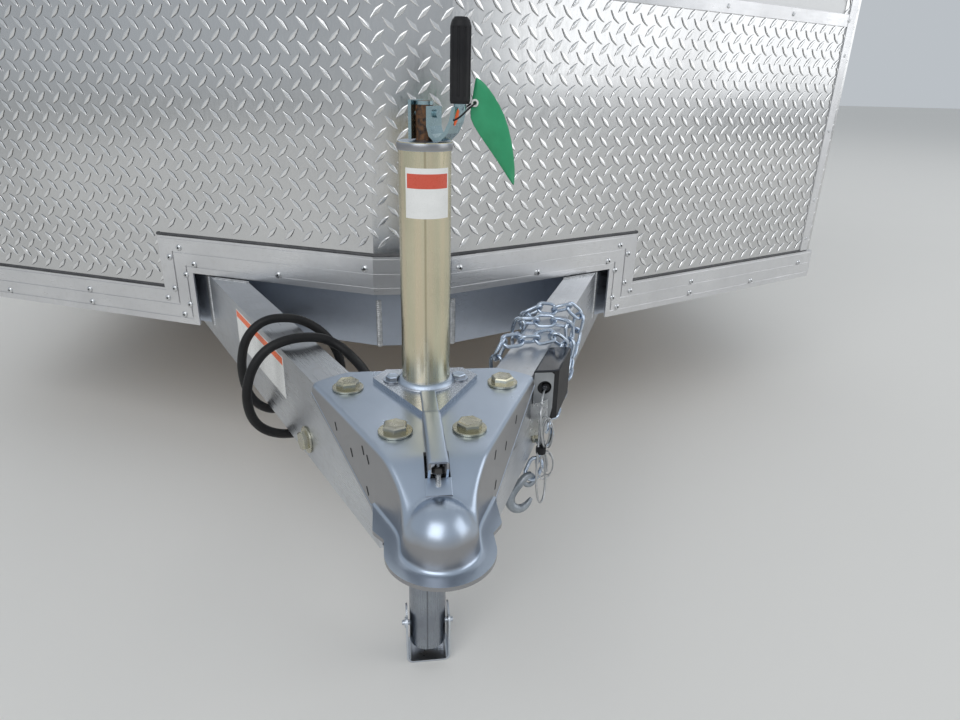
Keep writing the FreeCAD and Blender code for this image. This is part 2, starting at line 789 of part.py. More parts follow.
def strap(path, thick):
    """Outline of a strap of even thickness along a path of pairs."""
    left, right = [], []
    for i, (a, b) in enumerate(path):
        a0, b0 = path[max(i - 1, 0)]
        a1, b1 = path[min(i + 1, len(path) - 1)]
        length = hypot(a1 - a0, b1 - b0)
        da, db = (b0 - b1) / length * thick / 2, (a1 - a0) / length * thick / 2
        left.append((a + da, b + db))
        right.append((a - da, b - db))
    return left + right[::-1]


def jack_crank():
    """Forked end of the crank on the screw's end, and the bent arm to its grip."""
    base = jack_tube_top + jack_cap_thick
    screw = Part.makeCylinder(screw_radius, crank_top - base, Vector(0, 0, base))
    ear = box(-screw_radius - crank_ear, 0.3 - screw_radius, -crank_half, crank_half, base + 2,
              crank_top + 1)
    arm = slab_y(strap(crank_path, crank_ear + 1), -crank_half, crank_half)
    arm = arm.common(box(0, 100, -crank_half, crank_half, base + 0.5, grip_bottom + 10))
    narrow = rod((grip_x, 0, grip_bottom - 20), (grip_x, 0, grip_bottom + 12), grip_radius - 4)
    upper = box(0, 100, -crank_half, crank_half, grip_bottom - 3, grip_bottom + 12)
    arm = arm.cut(upper.cut(rod((grip_x, 0, grip_bottom - 30), (grip_x, 0, grip_bottom + 30),
                                grip_radius - 4)))
    arm = arm.fuse(narrow.common(box(0, 100, -20, 20, grip_bottom - 6, grip_bottom + 12)))
    out = screw_radius + crank_ear + 3
    pin = rod((-out, 0, crank_pin_z), (out + 1, 0, crank_pin_z), 4)
    return turned_crank(join([screw, ear, arm, pin]))


def jack_grip():
    """Fluted grip, bored for the crank's end."""
    bore = grip_radius - 3.9
    top = grip_top - grip_bottom
    profile = [(bore, 0), (grip_radius - 1, 0), (grip_radius, 3), (grip_radius, top - 8),
               (grip_radius - 1.5, top - 3), (grip_radius - 4, top), (0, top), (0, 14), (bore, 14)]
    points = [(grip_x + r, 0, grip_bottom + z) for r, z in profile]
    grip = face(points).revolve(Vector(grip_x, 0, 0), Vector(0, 0, 1), 360)
    reach = grip_radius + flute_radius / 2
    for k in range(grip_flutes):
        turn = 2 * pi * k / grip_flutes
        x, y = grip_x + reach * cos(turn), reach * sin(turn)
        grip = grip.cut(rod((x, y, grip_bottom + 7), (x, y, grip_top - 9), flute_radius))
    return turned_crank(grip)


def turned_crank(shape):
    """The crank's parts are drawn along +X and turned ahead about the jack's axis."""
    shape.rotate(Vector(0, 0, 0), Vector(0, 0, 1), -crank_turn)
    return shape


def coupler_plan(side, neck, rear):
    """Coupler seen from above, as (x, y): rear is its edge's points, side and neck its walls' offsets."""
    half = rear + [(beam_x(slope_y, side), slope_y), (neck, neck_y), (neck, ball_y)]
    return half + [(-x, y) for x, y in reversed(half)]


def coupler_body():
    """Plate, skirts and neck as one solid, with the top edges of the fold rounded."""
    side = beam_far + coupler_thick
    rear = [(coupler_rear_half, coupler_rear_y), (beam_x(coupler_corner_y, side), coupler_corner_y)]
    plan = prism(coupler_plan(side, neck_half, rear), 300, 500)
    profile = [(coupler_rear_y + 1, plate_top), (slope_y, plate_top), (dip_y, dip_z), (ball_y, dip_z),
               (ball_y, bell_bottom), (ear_rear_y - 5, bell_bottom), (ear_rear_y, skirt_low_z),
               (coupler_corner_y, skirt_rear_z), (coupler_rear_y + 1, skirt_rear_z)]
    body = slab_x(profile, -200, 200).common(plan)
    folds = []
    for edge in body.Edges:
        a, b = edge.Vertexes[0].Point, edge.Vertexes[-1].Point
        ahead = max(a.y, b.y) < coupler_corner_y + 1 and (a - b).Length > 5
        beside = min(abs(a.x), abs(b.x)) > neck_half - 1 and a.x * b.x > 0
        if ahead and beside and min(a.z, b.z) > dip_z - 1:
            folds.append(edge)
    return body.makeFillet(fold_radius, folds)


def coupler_hollow():
    """Space under the plate, between the skirts and in the neck."""
    rear = [(beam_x(coupler_rear_y + 20, beam_far), coupler_rear_y + 20)]
    plan = prism(coupler_plan(beam_far, neck_half - coupler_thick, rear), 300, 500)
    profile = [(coupler_rear_y + 21, beam_top), (slope_y + 1, beam_top), (dip_y + 1, dip_z - coupler_thick),
               (ball_y - 1, dip_z - coupler_thick), (ball_y - 1, 300), (coupler_rear_y + 21, 300)]
    return slab_x(profile, -200, 200).common(plan)


def coupler():
    """Pressed ball coupler over the beams' front ends."""
    centre = Vector(0, ball_y, ball_z)
    foot = Vector(0, ball_y, bell_bottom + coupler_thick)
    height = ball_z - foot.z
    cup = Part.makeSphere(dome_radius, centre).fuse(Part.makeCone(cup_foot, dome_radius, height, foot))
    cup = cup.cut(box(-60, 60, ball_y - 60, ball_y + 60, 300, foot.z - 0.5))
    side = (flange_radius + ear_half) / 2 - 2
    plan = [(flange_radius, ball_y), (side - 3, ball_y + 30), (side, ear_front_y - 6),
            (ear_half, ear_front_y), (beam_x(ear_rear_y, beam_far + coupler_thick), ear_rear_y)]
    flange = prism(plan + [(-x, y) for x, y in reversed(plan)], bell_bottom, foot.z)
    flange = flange.fuse(Part.makeCylinder(flange_radius, coupler_thick, Vector(0, ball_y, bell_bottom)))
    slot_front, slot_rear = slot_y
    fall = (plate_top - dip_z) / (slope_y - dip_y)

    def top_z(y):
        return plate_top - fall * (slope_y - y)
    tab = slab_x([(slot_front, top_z(slot_front) + tab_rise), (dip_y, dip_z + tab_rise), (dip_y, dip_z - 1),
                  (slot_front, top_z(slot_front) - 1)], -tab_half, tab_half)
    shell = join([coupler_body(), cup, flange, tab])
    inside = Part.makeSphere(dome_radius - coupler_thick, centre)
    cone = Part.makeCone(cup_foot - coupler_thick, dome_radius - coupler_thick, ball_z - bell_bottom + 1,
                         Vector(0, ball_y, bell_bottom - 1))
    shell = shell.cut(coupler_hollow().fuse(inside).fuse(cone))
    shell = shell.cut(box(-slot_half, slot_half, slot_front, slot_rear, 380, plate_top + 5))
    shell = shell.cut(box(-3.7, 3.7, slot_front - 10, slot_front + 1, 380, plate_top))
    return shell.cut(Part.makeCylinder(jack_radius + 0.3, 40, Vector(0, 0, beam_top - 10)))


def coupler_latch():
    """Strap and folded lever, with the pin, screw and clamp behind the ball."""
    base = plate_top + jack_plate_thick
    sheet = latch_sheet
    strip = slab_x([(-46, base), (-88, base), (-100, latch_top - sheet), (latch_front_y, latch_top - sheet),
                    (latch_front_y, latch_top), (-101, latch_top), (-90, base + sheet),
                    (-46, base + sheet)], -latch_half, latch_half)
    tail = box(-latch_half, latch_half, -94, -40, base - 1, base + sheet + 1)
    strip = strip.cut(tail.cut(box(-8.5, 8.5, -95, -39, base - 2, base + sheet + 2)))
    low = plate_top + 0.3
    cheek = [(-98, low), (-98, latch_top - 1), (latch_front_y, latch_top - 1), (latch_front_y, low - 4),
             (slot_y[0] + 1, low - 9), (slot_y[0] + 3, 404), (slot_y[1] - 4, 404), (slot_y[1] - 2, low)]
    parts = [strip]
    for side in (1, -1):
        x0, x1 = sorted((side * latch_half, side * (latch_half - sheet)))
        parts.append(slab_x(cheek, x0, x1))
    parts.append(rod((-latch_half, latch_pin_y, latch_pin_z), (latch_half, latch_pin_y, latch_pin_z), 4))
    pin, screw_end = Vector(0, latch_pin_y, latch_pin_z), Vector(0, ball_y + clamp_radius + 1, ball_z + 16)
    lean = (screw_end - pin).normalize()
    parts.append(rod(pin, screw_end, 3))
    parts.append(rod(pin + lean * 5, pin + lean * 11, 6))
    band = Part.makeCylinder(clamp_radius + clamp_thick, 30, Vector(0, ball_y, ball_z - 14))
    band = band.cut(Part.makeCylinder(clamp_radius, 32, Vector(0, ball_y, ball_z - 15)))
    band = band.common(box(-20, 20, ball_y + 10, ball_y + 40, 300, 500))
    parts.append(band)
    heel = ball_y + clamp_radius
    parts.append(box(-9, 9, heel - 3, heel + clamp_thick, ball_z + 13, ball_z + 20))
    return join(parts)


def chain_link(centre, along, across):
    """One link with flat sides: along is its long direction, across its wide one."""
    normal = along.cross(across).normalize()
    end, side = chain_length / 2, chain_width / 2
    cut = side * 0.56
    outer = ((end, side - cut), (end - cut, side), (cut - end, side), (-end, side - cut),
             (-end, cut - side), (cut - end, -side), (end - cut, -side), (end, cut - side))
    end, side = end - chain_wire, side - chain_wire
    inner_loop = ((end, side), (-end, side), (-end, -side), (end, -side))

    def raised(loop):
        corners = [centre + along * a + across * b - normal * (chain_wire / 2) for a, b in loop]
        return Part.Face(Part.makePolygon(corners + corners[:1])).extrude(normal * chain_wire)
    return raised(outer).cut(raised(inner_loop))


def on_beam(y, offset, z):
    """A point beside the left tongue beam, at a square offset from the jack's axis."""
    return Vector(beam_x(y, offset), y, z)


def even_steps(points, step):
    """Points along a path of straight lines, each a step from the one before."""
    spots = [points[0]]
    k = 0
    while k < len(points) - 1:
        start, end = points[k], points[k + 1]
        here = spots[-1]
        if (end - here).Length < step:
            k += 1
            continue
        run = end - start
        low, high = 0.0, 1.0
        for _ in range(30):
            share = (low + high) / 2
            if (start + run * share - here).Length < step:
                low = share
            else:
                high = share
        spots.append(start + run * high)
    return spots


def safety_chain():
    """Links over and beside the left beam, turned a quarter from one to the next, and the slip hook."""
    spots = even_steps([on_beam(*row) for row in chain_path], chain_pitch)
    middle = (beam_near + beam_far) / 2
    links = []
    for k in range(len(spots) - 1):
        centre = (spots[k] + spots[k + 1]) / 2
        along = (spots[k + 1] - spots[k]).normalize()
        out = centre - on_beam(centre.y, middle, (beam_top + beam_bottom) / 2)
        out = (out - along * out.dot(along)).normalize()
        side = along.cross(out)
        across = (out + side if k % 2 else out - side).normalize()
        links.append(chain_link(centre, along, across))
    links.append(slip_hook(centre + along * ((chain_length - chain_wire) / 2 + eye_sag), along, across))
    return links


def slip_hook(eye, down, across):
    """A flat forged hook whose eye takes the last link's end; down is its length, across its thickness."""
    over = down.cross(across)

    def disc(a, b, radius):
        centre = eye + over * a + down * b - across * (hook_thick / 2)
        return Part.makeCylinder(radius, hook_thick, centre, across)

    def plate(points):
        corners = [eye + over * a + down * b - across * (hook_thick / 2) for a, b in points]
        return Part.Face(Part.makePolygon(corners + corners[:1])).extrude(across * hook_thick)
    drop = eye_radius + hook_radius + 7
    body = join([disc(0, 0, eye_radius + 5), disc(0, drop, hook_radius),
                 plate([(-4, 4), (5, 4), (14, drop - 10), (2, drop - 16)])])
    body = body.cut(disc(-2, drop, hook_radius * 0.52)).cut(disc(0, 0, eye_radius))
    return body.cut(plate([(-3, drop - 3), (-3, drop - 25), (-30, drop - 16), (-30, drop - 3)]))


def breakaway_switch():
    """Housing on the left beam's outer face, with the pull pin in its front hole."""
    y0, y1 = switch_y
    far = beam_far + switch_out
    plan = [(y0, beam_far), (y0, far - 5), (y0 + 4, far), (y1 - 4, far), (y1, far - 5), (y1, beam_far)]
    body = prism([(beam_x(y, offset), y) for y, offset in plan], switch_z[0], switch_z[1])
    ahead = Vector(-sin(beta), -cos(beta), 0)
    mouth = on_beam(y0, beam_far + switch_out / 2, switch_hole_z)
    body = body.cut(Part.makeCylinder(switch_hole, 14, mouth - ahead * 12, ahead))
    pin = Part.makeCylinder(switch_hole - 2.5, 11, mouth - ahead * 12, ahead)
    return join([body, pin])


def cord(points, radius, name):
    """A round cord of straight runs and arcs that touch them, swept as one solid."""
    edges = []
    last = points[0]
    bends = []
    for before, here, after in zip(points, points[1:], points[2:]):
        into, out = (here - before), (after - here)
        shorter = min(into.Length, out.Length)
        into.normalize()
        out.normalize()
        half_turn = acos(max(-1.0, min(1.0, into.dot(out)))) / 2
        reach = 0.45 * shorter
        bends.append(reach / tan(half_turn))
        start, end = here - into * reach, here + out * reach
        lean = (out - into).normalize()
        middle = here + lean * (bends[-1] / cos(half_turn) - bends[-1])
        edges.append(Part.makeLine(last, start))
        edges.append(Part.Arc(start, middle, end).toShape())
        last = end
    edges.append(Part.makeLine(last, points[-1]))
    path = Part.Wire(edges)
    rim_wire = Part.Wire(Part.makeCircle(radius, points[0], points[1] - points[0]))
    solid = path.makePipeShell([rim_wire], True, False)
    print(name, "bend radii", [round(bend) for bend in bends], "volume",
          round(solid.Volume / (pi * radius ** 2 * path.Length), 4))
    return solid


def breakaway_cable():
    return cord([on_beam(*row) for row in wire_path], wire_radius, "breakaway_cable")


def cable_points():
    return [Vector(-offset * cos(beta) - along * sin(beta), along * cos(beta) - offset * sin(beta), z)
            for offset, along, z in cable_path]


def supply_cable():
    """Cable wound twice round the right beam, from the nose member to its plug under the coupler."""
    return cord(cable_points(), cable_radius, "supply_cable")


def supply_plug():
    """Round plug that hangs on the cable's end, open at its face."""
    end = cable_points()[-1]
    points = [(end.x + r, end.y, end.z - plug_gap - drop) for r, drop in plug_profile]
    return face(points).revolve(end, Vector(0, 0, 1), 360)


def side_door_latch():
    """Flush paddle latch on the side door: its frame, dished face and handle."""
    height, width, depth = paddle
    x = -(half_body + skin) - door_frame_proud
    y = door_front_y + door_width - 110
    plate = box(x - depth / 3, x, y - width / 2, y + width / 2, paddle_z - height / 2,
                paddle_z + height / 2)
    plate = plate.fuse(box(x - depth, x, y - width / 2 + 12, y - 8, paddle_z - height / 2 + 14,
                           paddle_z + height / 2 - 14))
    lock = rod((x - depth * 0.7, y + width / 4, paddle_z), (x, y + width / 4, paddle_z), 13)
    return join([plate, lock])


def lamp(size, place, facing):
    """A rounded lamp: size is its length, breadth and depth, facing the way it shines."""
    length, breadth, depth = size
    end = breadth / 2
    middle = Vector(*place)
    facing = Vector(*facing)
    along = Vector(0, 0, 1) if abs(facing.y) > 0.5 else Vector(0, 1, 0)
    wide = along.cross(facing)
    run = length / 2 - end
    corners = [middle + along * a * run + wide * b * end for a, b in ((1, 1), (-1, 1), (-1, -1), (1, -1))]
    body = Part.Face(Part.makePolygon(corners + corners[:1])).extrude(facing * depth)
    for turn in (1, -1):
        body = body.fuse(Part.makeCylinder(end, depth, middle + along * turn * run, facing))
    return body.removeSplitter()


def tail_lamps():
    x = half_body + skin - post_width / 2
    return [lamp(tail_lamp, (side * x, rear_y, tail_lamp_z), (0, 1, 0)) for side in (1, -1)]


def marker_lamps():
    """Clearance lamps high on both sides, behind the nose."""
    x = half_body + skin
    z = ceiling - marker_drop
    return [lamp(marker_lamp, (side * x, shoulder_y + 70, z), (side, 0, 0)) for side in (1, -1)]


def save(name, shapes, shift):
    solids = shapes if isinstance(shapes, list) else [shapes]
    solids = [piece for shape in solids for piece in (shape.Solids or [shape])]
    shape = solids[0] if len(solids) == 1 else Part.Compound(solids)
    shape = shape.copy()
    shape.translate(Vector(0, shift, 0))
    if not shape.isValid():
        print("not valid:", name)
    print(name, len(solids), round(shape.Volume / 1e6, 4), "l")
    shape.exportStep("parts/" + name + ".step")


def main():
    os.makedirs("parts", exist_ok=True)
    pieces = {}
    beam = tongue_beam()
    pieces["tongue_beam_left"] = beam
    pieces["tongue_beam_right"] = mirrored(beam)
    pieces["nose_member"] = nose_member()
    rail = main_rail()
    pieces["main_rail_left"] = rail
    pieces["main_rail_right"] = mirrored(rail)
    pieces["cross_members"] = cross_members()
    pieces["floor"] = floor()
    pieces["nose_wall"] = nose_wall()
    wall = side_wall()
    pieces["side_wall_left"] = wall
    pieces["side_wall_right"] = mirrored(wall).cut(doorway(0))
    pieces["roof"] = roof()
    pieces["roof_trim"] = roof_trim()
    pieces["nose_guard"] = nose_guard()
    pieces["nose_trim"] = nose_trim()
    trim = side_trim()
    pieces["side_trim_left"] = trim
    pieces["side_trim_right"] = mirrored(trim)
    for name, y in (("front", axle_mid_y - axle_spacing / 2), ("rear", axle_mid_y + axle_spacing / 2)):
        pieces["axle_" + name] = axle(y)
        one_tyre, one_rim = tyre(y), rim(y)
        pieces["tyre_" + name + "_left"] = one_tyre
        pieces["tyre_" + name + "_right"] = mirrored(one_tyre)
        pieces["rim_" + name + "_left"] = one_rim
        pieces["rim_" + name + "_right"] = mirrored(one_rim)
    guard = fender()
    pieces["fender_left"] = guard
    pieces["fender_right"] = mirrored(guard)
    pieces["rear_frame"] = rear_frame()
    pieces["ramp_hinges"] = ramp_hinge_fixed()
    pieces["ramp_door"] = ramp_door()
    pieces["ramp_latches"] = ramp_latch()
    pieces["side_door_frame"] = side_door_frame()
    pieces["side_door_hinges"] = side_door_hinges()
    pieces["side_door"] = side_door()
    pieces["jack_tube"] = jack_tube()
    pieces["jack_leg"] = jack_leg()
    pieces["jack_foot"] = jack_foot()
    pieces["jack_crank"] = jack_crank()
    pieces["jack_grip"] = jack_grip()
    pieces["coupler"] = coupler()
    pieces["coupler_latch"] = coupler_latch()
    pieces["safety_chain"] = safety_chain()
    pieces["breakaway_switch"] = breakaway_switch()
    pieces["breakaway_cable"] = breakaway_cable()
    pieces["supply_cable"] = supply_cable()
    pieces["supply_plug"] = supply_plug()
    pieces["side_door_latch"] = side_door_latch()
    pieces["tail_lamps"] = tail_lamps()
    pieces["marker_lamps"] = marker_lamps()
    solids = []
    for piece in pieces.values():
        solids += piece if isinstance(piece, list) else [piece]
    bounds = Part.Compound(solids).BoundBox
    shift = -(bounds.YMin + bounds.YMax) / 2
    print("shift", shift, bounds)
    for name, shape in pieces.items():
        save(name, shape, shift)


main()
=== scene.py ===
import json
from math import ceil, cos, exp, hypot, log1p, pi, radians, sin, sqrt, tan

import bmesh
import bpy
from mathutils import Matrix, Vector


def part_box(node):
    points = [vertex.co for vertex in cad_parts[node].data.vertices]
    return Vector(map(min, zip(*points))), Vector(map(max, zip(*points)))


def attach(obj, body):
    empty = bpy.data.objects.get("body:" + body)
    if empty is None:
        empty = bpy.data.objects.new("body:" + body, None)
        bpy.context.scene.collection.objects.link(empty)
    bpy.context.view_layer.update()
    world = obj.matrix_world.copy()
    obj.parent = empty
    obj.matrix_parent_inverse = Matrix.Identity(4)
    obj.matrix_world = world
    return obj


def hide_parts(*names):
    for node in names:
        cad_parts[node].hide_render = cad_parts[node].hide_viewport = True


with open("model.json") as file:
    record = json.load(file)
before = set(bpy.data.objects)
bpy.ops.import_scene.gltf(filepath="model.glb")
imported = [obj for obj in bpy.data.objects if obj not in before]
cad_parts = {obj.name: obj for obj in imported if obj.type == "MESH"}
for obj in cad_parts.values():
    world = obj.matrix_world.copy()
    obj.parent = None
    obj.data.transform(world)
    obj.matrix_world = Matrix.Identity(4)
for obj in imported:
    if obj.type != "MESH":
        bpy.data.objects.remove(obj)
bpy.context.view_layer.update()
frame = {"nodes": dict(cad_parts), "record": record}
nodes = frame["nodes"]
print("frame loaded:", len(nodes), "nodes")

# Measures are in millimetres from the jack's axis, +X to the trailer's left and -Y ahead
jackY = sum(corner.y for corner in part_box("jack_leg")) / 2
beamTurn = radians(25.1)
beamFace = 113.4
noseTurn = radians(24.97)
nose = {"frontY": 384.7, "halfFlat": 67.6}
upward = Vector((0, 0, 1))
wheels = {"x": 1190.0, "z": 344.5, "frontY": 2898.0, "rearY": 3762.0}


def spot(x, y, z):
    return Vector((x / 1000, y / 1000 + jackY, z / 1000))


def leftBeamSpot(y, offset, z):
    return spot(y * tan(beamTurn) + offset / cos(beamTurn), y, z)


def rightBeamSpot(offset, along, z):
    return spot(-offset * cos(beamTurn) - along * sin(beamTurn), along * cos(beamTurn) - offset * sin(beamTurn), z)


# A beam's outer face, and the way it looks
def beamSpot(side, y, z, out=0.0):
    return spot(side * (y * tan(beamTurn) + (beamFace + out) / cos(beamTurn)), y, z)


def beamAway(side):
    return Vector((side * cos(beamTurn), -sin(beamTurn), 0))


# Along the nose, across is measured round its bends and out is square to its face
def noseSpot(across, z, out=0.0):
    side = 1 if across > 0 else -1
    beyond = abs(across) - nose["halfFlat"]
    if beyond <= 0:
        return spot(across, nose["frontY"] - out, z)
    x = nose["halfFlat"] + beyond * cos(noseTurn) + out * sin(noseTurn)
    return spot(side * x, nose["frontY"] + beyond * sin(noseTurn) - out * cos(noseTurn), z)


def noseFacing(across):
    if abs(across) <= nose["halfFlat"]:
        return Vector((0, -1, 0))
    return Vector((sin(noseTurn) * (1 if across > 0 else -1), -cos(noseTurn), 0))


# The photograph's camera
cameraLook = {"lens": 25.158, "turn": 8.23, "down": 22.41, "roll": -1.56, "place": (-42.3, -745.0, 765.2)}


def makeCamera(look):
    turn, down, roll = (radians(look[key]) for key in ("turn", "down", "roll"))
    ahead = Vector((sin(turn) * cos(down), cos(turn) * cos(down), -sin(down)))
    right = Vector((cos(turn), -sin(turn), 0))
    under = ahead.cross(right)
    across = right * cos(roll) + under * sin(roll)
    below = under * cos(roll) - right * sin(roll)
    lens = bpy.data.cameras.new("photoCamera")
    lens.lens = look["lens"]
    lens.sensor_width = 36
    lens.clip_start = 0.02
    lens.clip_end = 200
    camera = bpy.data.objects.new("photoCamera", lens)
    bpy.context.scene.collection.objects.link(camera)
    turned = Matrix((across, -below, -ahead)).transposed().to_4x4()
    camera.matrix_world = Matrix.Translation(spot(*look["place"])) @ turned
    bpy.context.scene.camera = camera


makeCamera(cameraLook)
print("camera set")


# Node and material helpers
def addNode(tree, kind, inputs=None, **settings):
    made = tree.nodes.new(kind)
    for key, value in settings.items():
        setattr(made, key, value)
    for socket, value in (inputs or {}).items():
        if isinstance(value, bpy.types.NodeSocket):
            tree.links.new(value, made.inputs[socket])
        else:
            made.inputs[socket].default_value = value
    return made


def startMaterial(name, **fixed):
    made = bpy.data.materials.new(name)
    made.use_nodes = True
    tree = made.node_tree
    shader = tree.nodes["Principled BSDF"]
    for socket, value in fixed.items():
        shader.inputs[socket.replace("_", " ")].default_value = value
    place = addNode(tree, "ShaderNodeTexCoord").outputs["Object"]
    return made, tree, shader, place


def split(tree, vector):
    return addNode(tree, "ShaderNodeSeparateXYZ", {0: vector}).outputs


def stretched(tree, place, stretch, turn=0.0):
    turned = addNode(tree, "ShaderNodeMapping", {"Vector": place, "Rotation": (0, 0, turn)}).outputs[0]
    return addNode(tree, "ShaderNodeMapping", {"Vector": turned, "Scale": stretch}).outputs[0]


def noise(tree, place, scale, detail=3.0, rough=0.55):
    return addNode(tree, "ShaderNodeTexNoise", {"Vector": place, "Scale": scale, "Detail": detail,
                                                "Roughness": rough}).outputs[0]


def spread(tree, value, low, high, start=0.35, end=0.65):
    return addNode(tree, "ShaderNodeMapRange", {"Value": value, "From Min": start, "From Max": end, "To Min": low,
                                                "To Max": high}).outputs[0]


# Two colours, each a socket or red, green and blue
def mixed(tree, factor, first, second):
    first, second = (tint if isinstance(tint, bpy.types.NodeSocket) else (*tint, 1.0) for tint in (first, second))
    return addNode(tree, "ShaderNodeMix", {0: factor, 6: first, 7: second}, data_type="RGBA").outputs[2]


def sums(tree, kind, first, second=0.0):
    return addNode(tree, "ShaderNodeMath", {0: first, 1: second}, operation=kind).outputs[0]


def painted(tree, shader, base, rough):
    tree.links.new(base, shader.inputs["Base Color"])
    tree.links.new(rough, shader.inputs["Roughness"])


def bumped(tree, shader, height, depth, strength=1.0):
    before = shader.inputs["Normal"].links
    inputs = {"Height": height, "Distance": depth, "Strength": strength}
    if before:
        inputs["Normal"] = before[0].from_socket
    made = addNode(tree, "ShaderNodeBump", inputs)
    tree.links.new(made.outputs[0], shader.inputs["Normal"])


# A metal: colour and shade in blotches, gloss as a range of roughness, grain stretched along its rolling. Where given,
# bands stand up a tube, lower is the colour below a height, side is painted shade on faces turned sideways, seam a
# line up the front, and dust the specks over all
def metal(name, look):
    made, tree, shader, place = startMaterial(name, Metallic=1.0)
    blotches = noise(tree, place, look["blotch"], 4.0)
    rolled = stretched(tree, place, look.get("stretch", (1, 1, 1)), look.get("turn", 0.0))
    grain = noise(tree, rolled, look["grain"], 2.0)
    base = mixed(tree, spread(tree, blotches, 0.0, 1.0), look["colour"], look["shade"])
    if "bands" in look:
        *tint, scale = look["bands"]
        wide = noise(tree, stretched(tree, place, (1, 1, 0.03)), scale, 1.0)
        base = mixed(tree, spread(tree, wide, 0.0, 0.8, 0.42, 0.6), base, tint)
    if "lower" in look:
        *tint, height = look["lower"]
        base = mixed(tree, spread(tree, split(tree, place)["Z"], 0.0, 1.0, height, height + 0.006), tint, base)
    # Painted reflection: faces turned sideways take the darker side colour, as if they mirrored shaded ground
    if "side" in look:
        rise = split(tree, addNode(tree, "ShaderNodeTexCoord").outputs["Normal"])["Z"]
        base = mixed(tree, spread(tree, sums(tree, "ABSOLUTE", rise), 0.0, 1.0, 0.15, 0.55), look["side"], base)
    if "seam" in look:
        *tint, middle, half = look["seam"]
        away = sums(tree, "ABSOLUTE", sums(tree, "SUBTRACT", split(tree, place)["X"], middle))
        base = mixed(tree, spread(tree, away, 0.7, 0.0, half, half * 2.2), base, tint)
    if "dust" in look:
        *tint, amount = look["dust"]
        specks = noise(tree, place, 90.0, 5.0, 0.7)
        base = mixed(tree, spread(tree, specks, 0.0, amount, 0.52, 0.75), base, tint)
    uneven = spread(tree, blotches, -0.04, 0.06, 0.3, 0.7)
    painted(tree, shader, base, sums(tree, "ADD", spread(tree, grain, *look["gloss"], 0.25, 0.75), uneven))
    bumped(tree, shader, grain, look["bump"] / 1000)
    return made


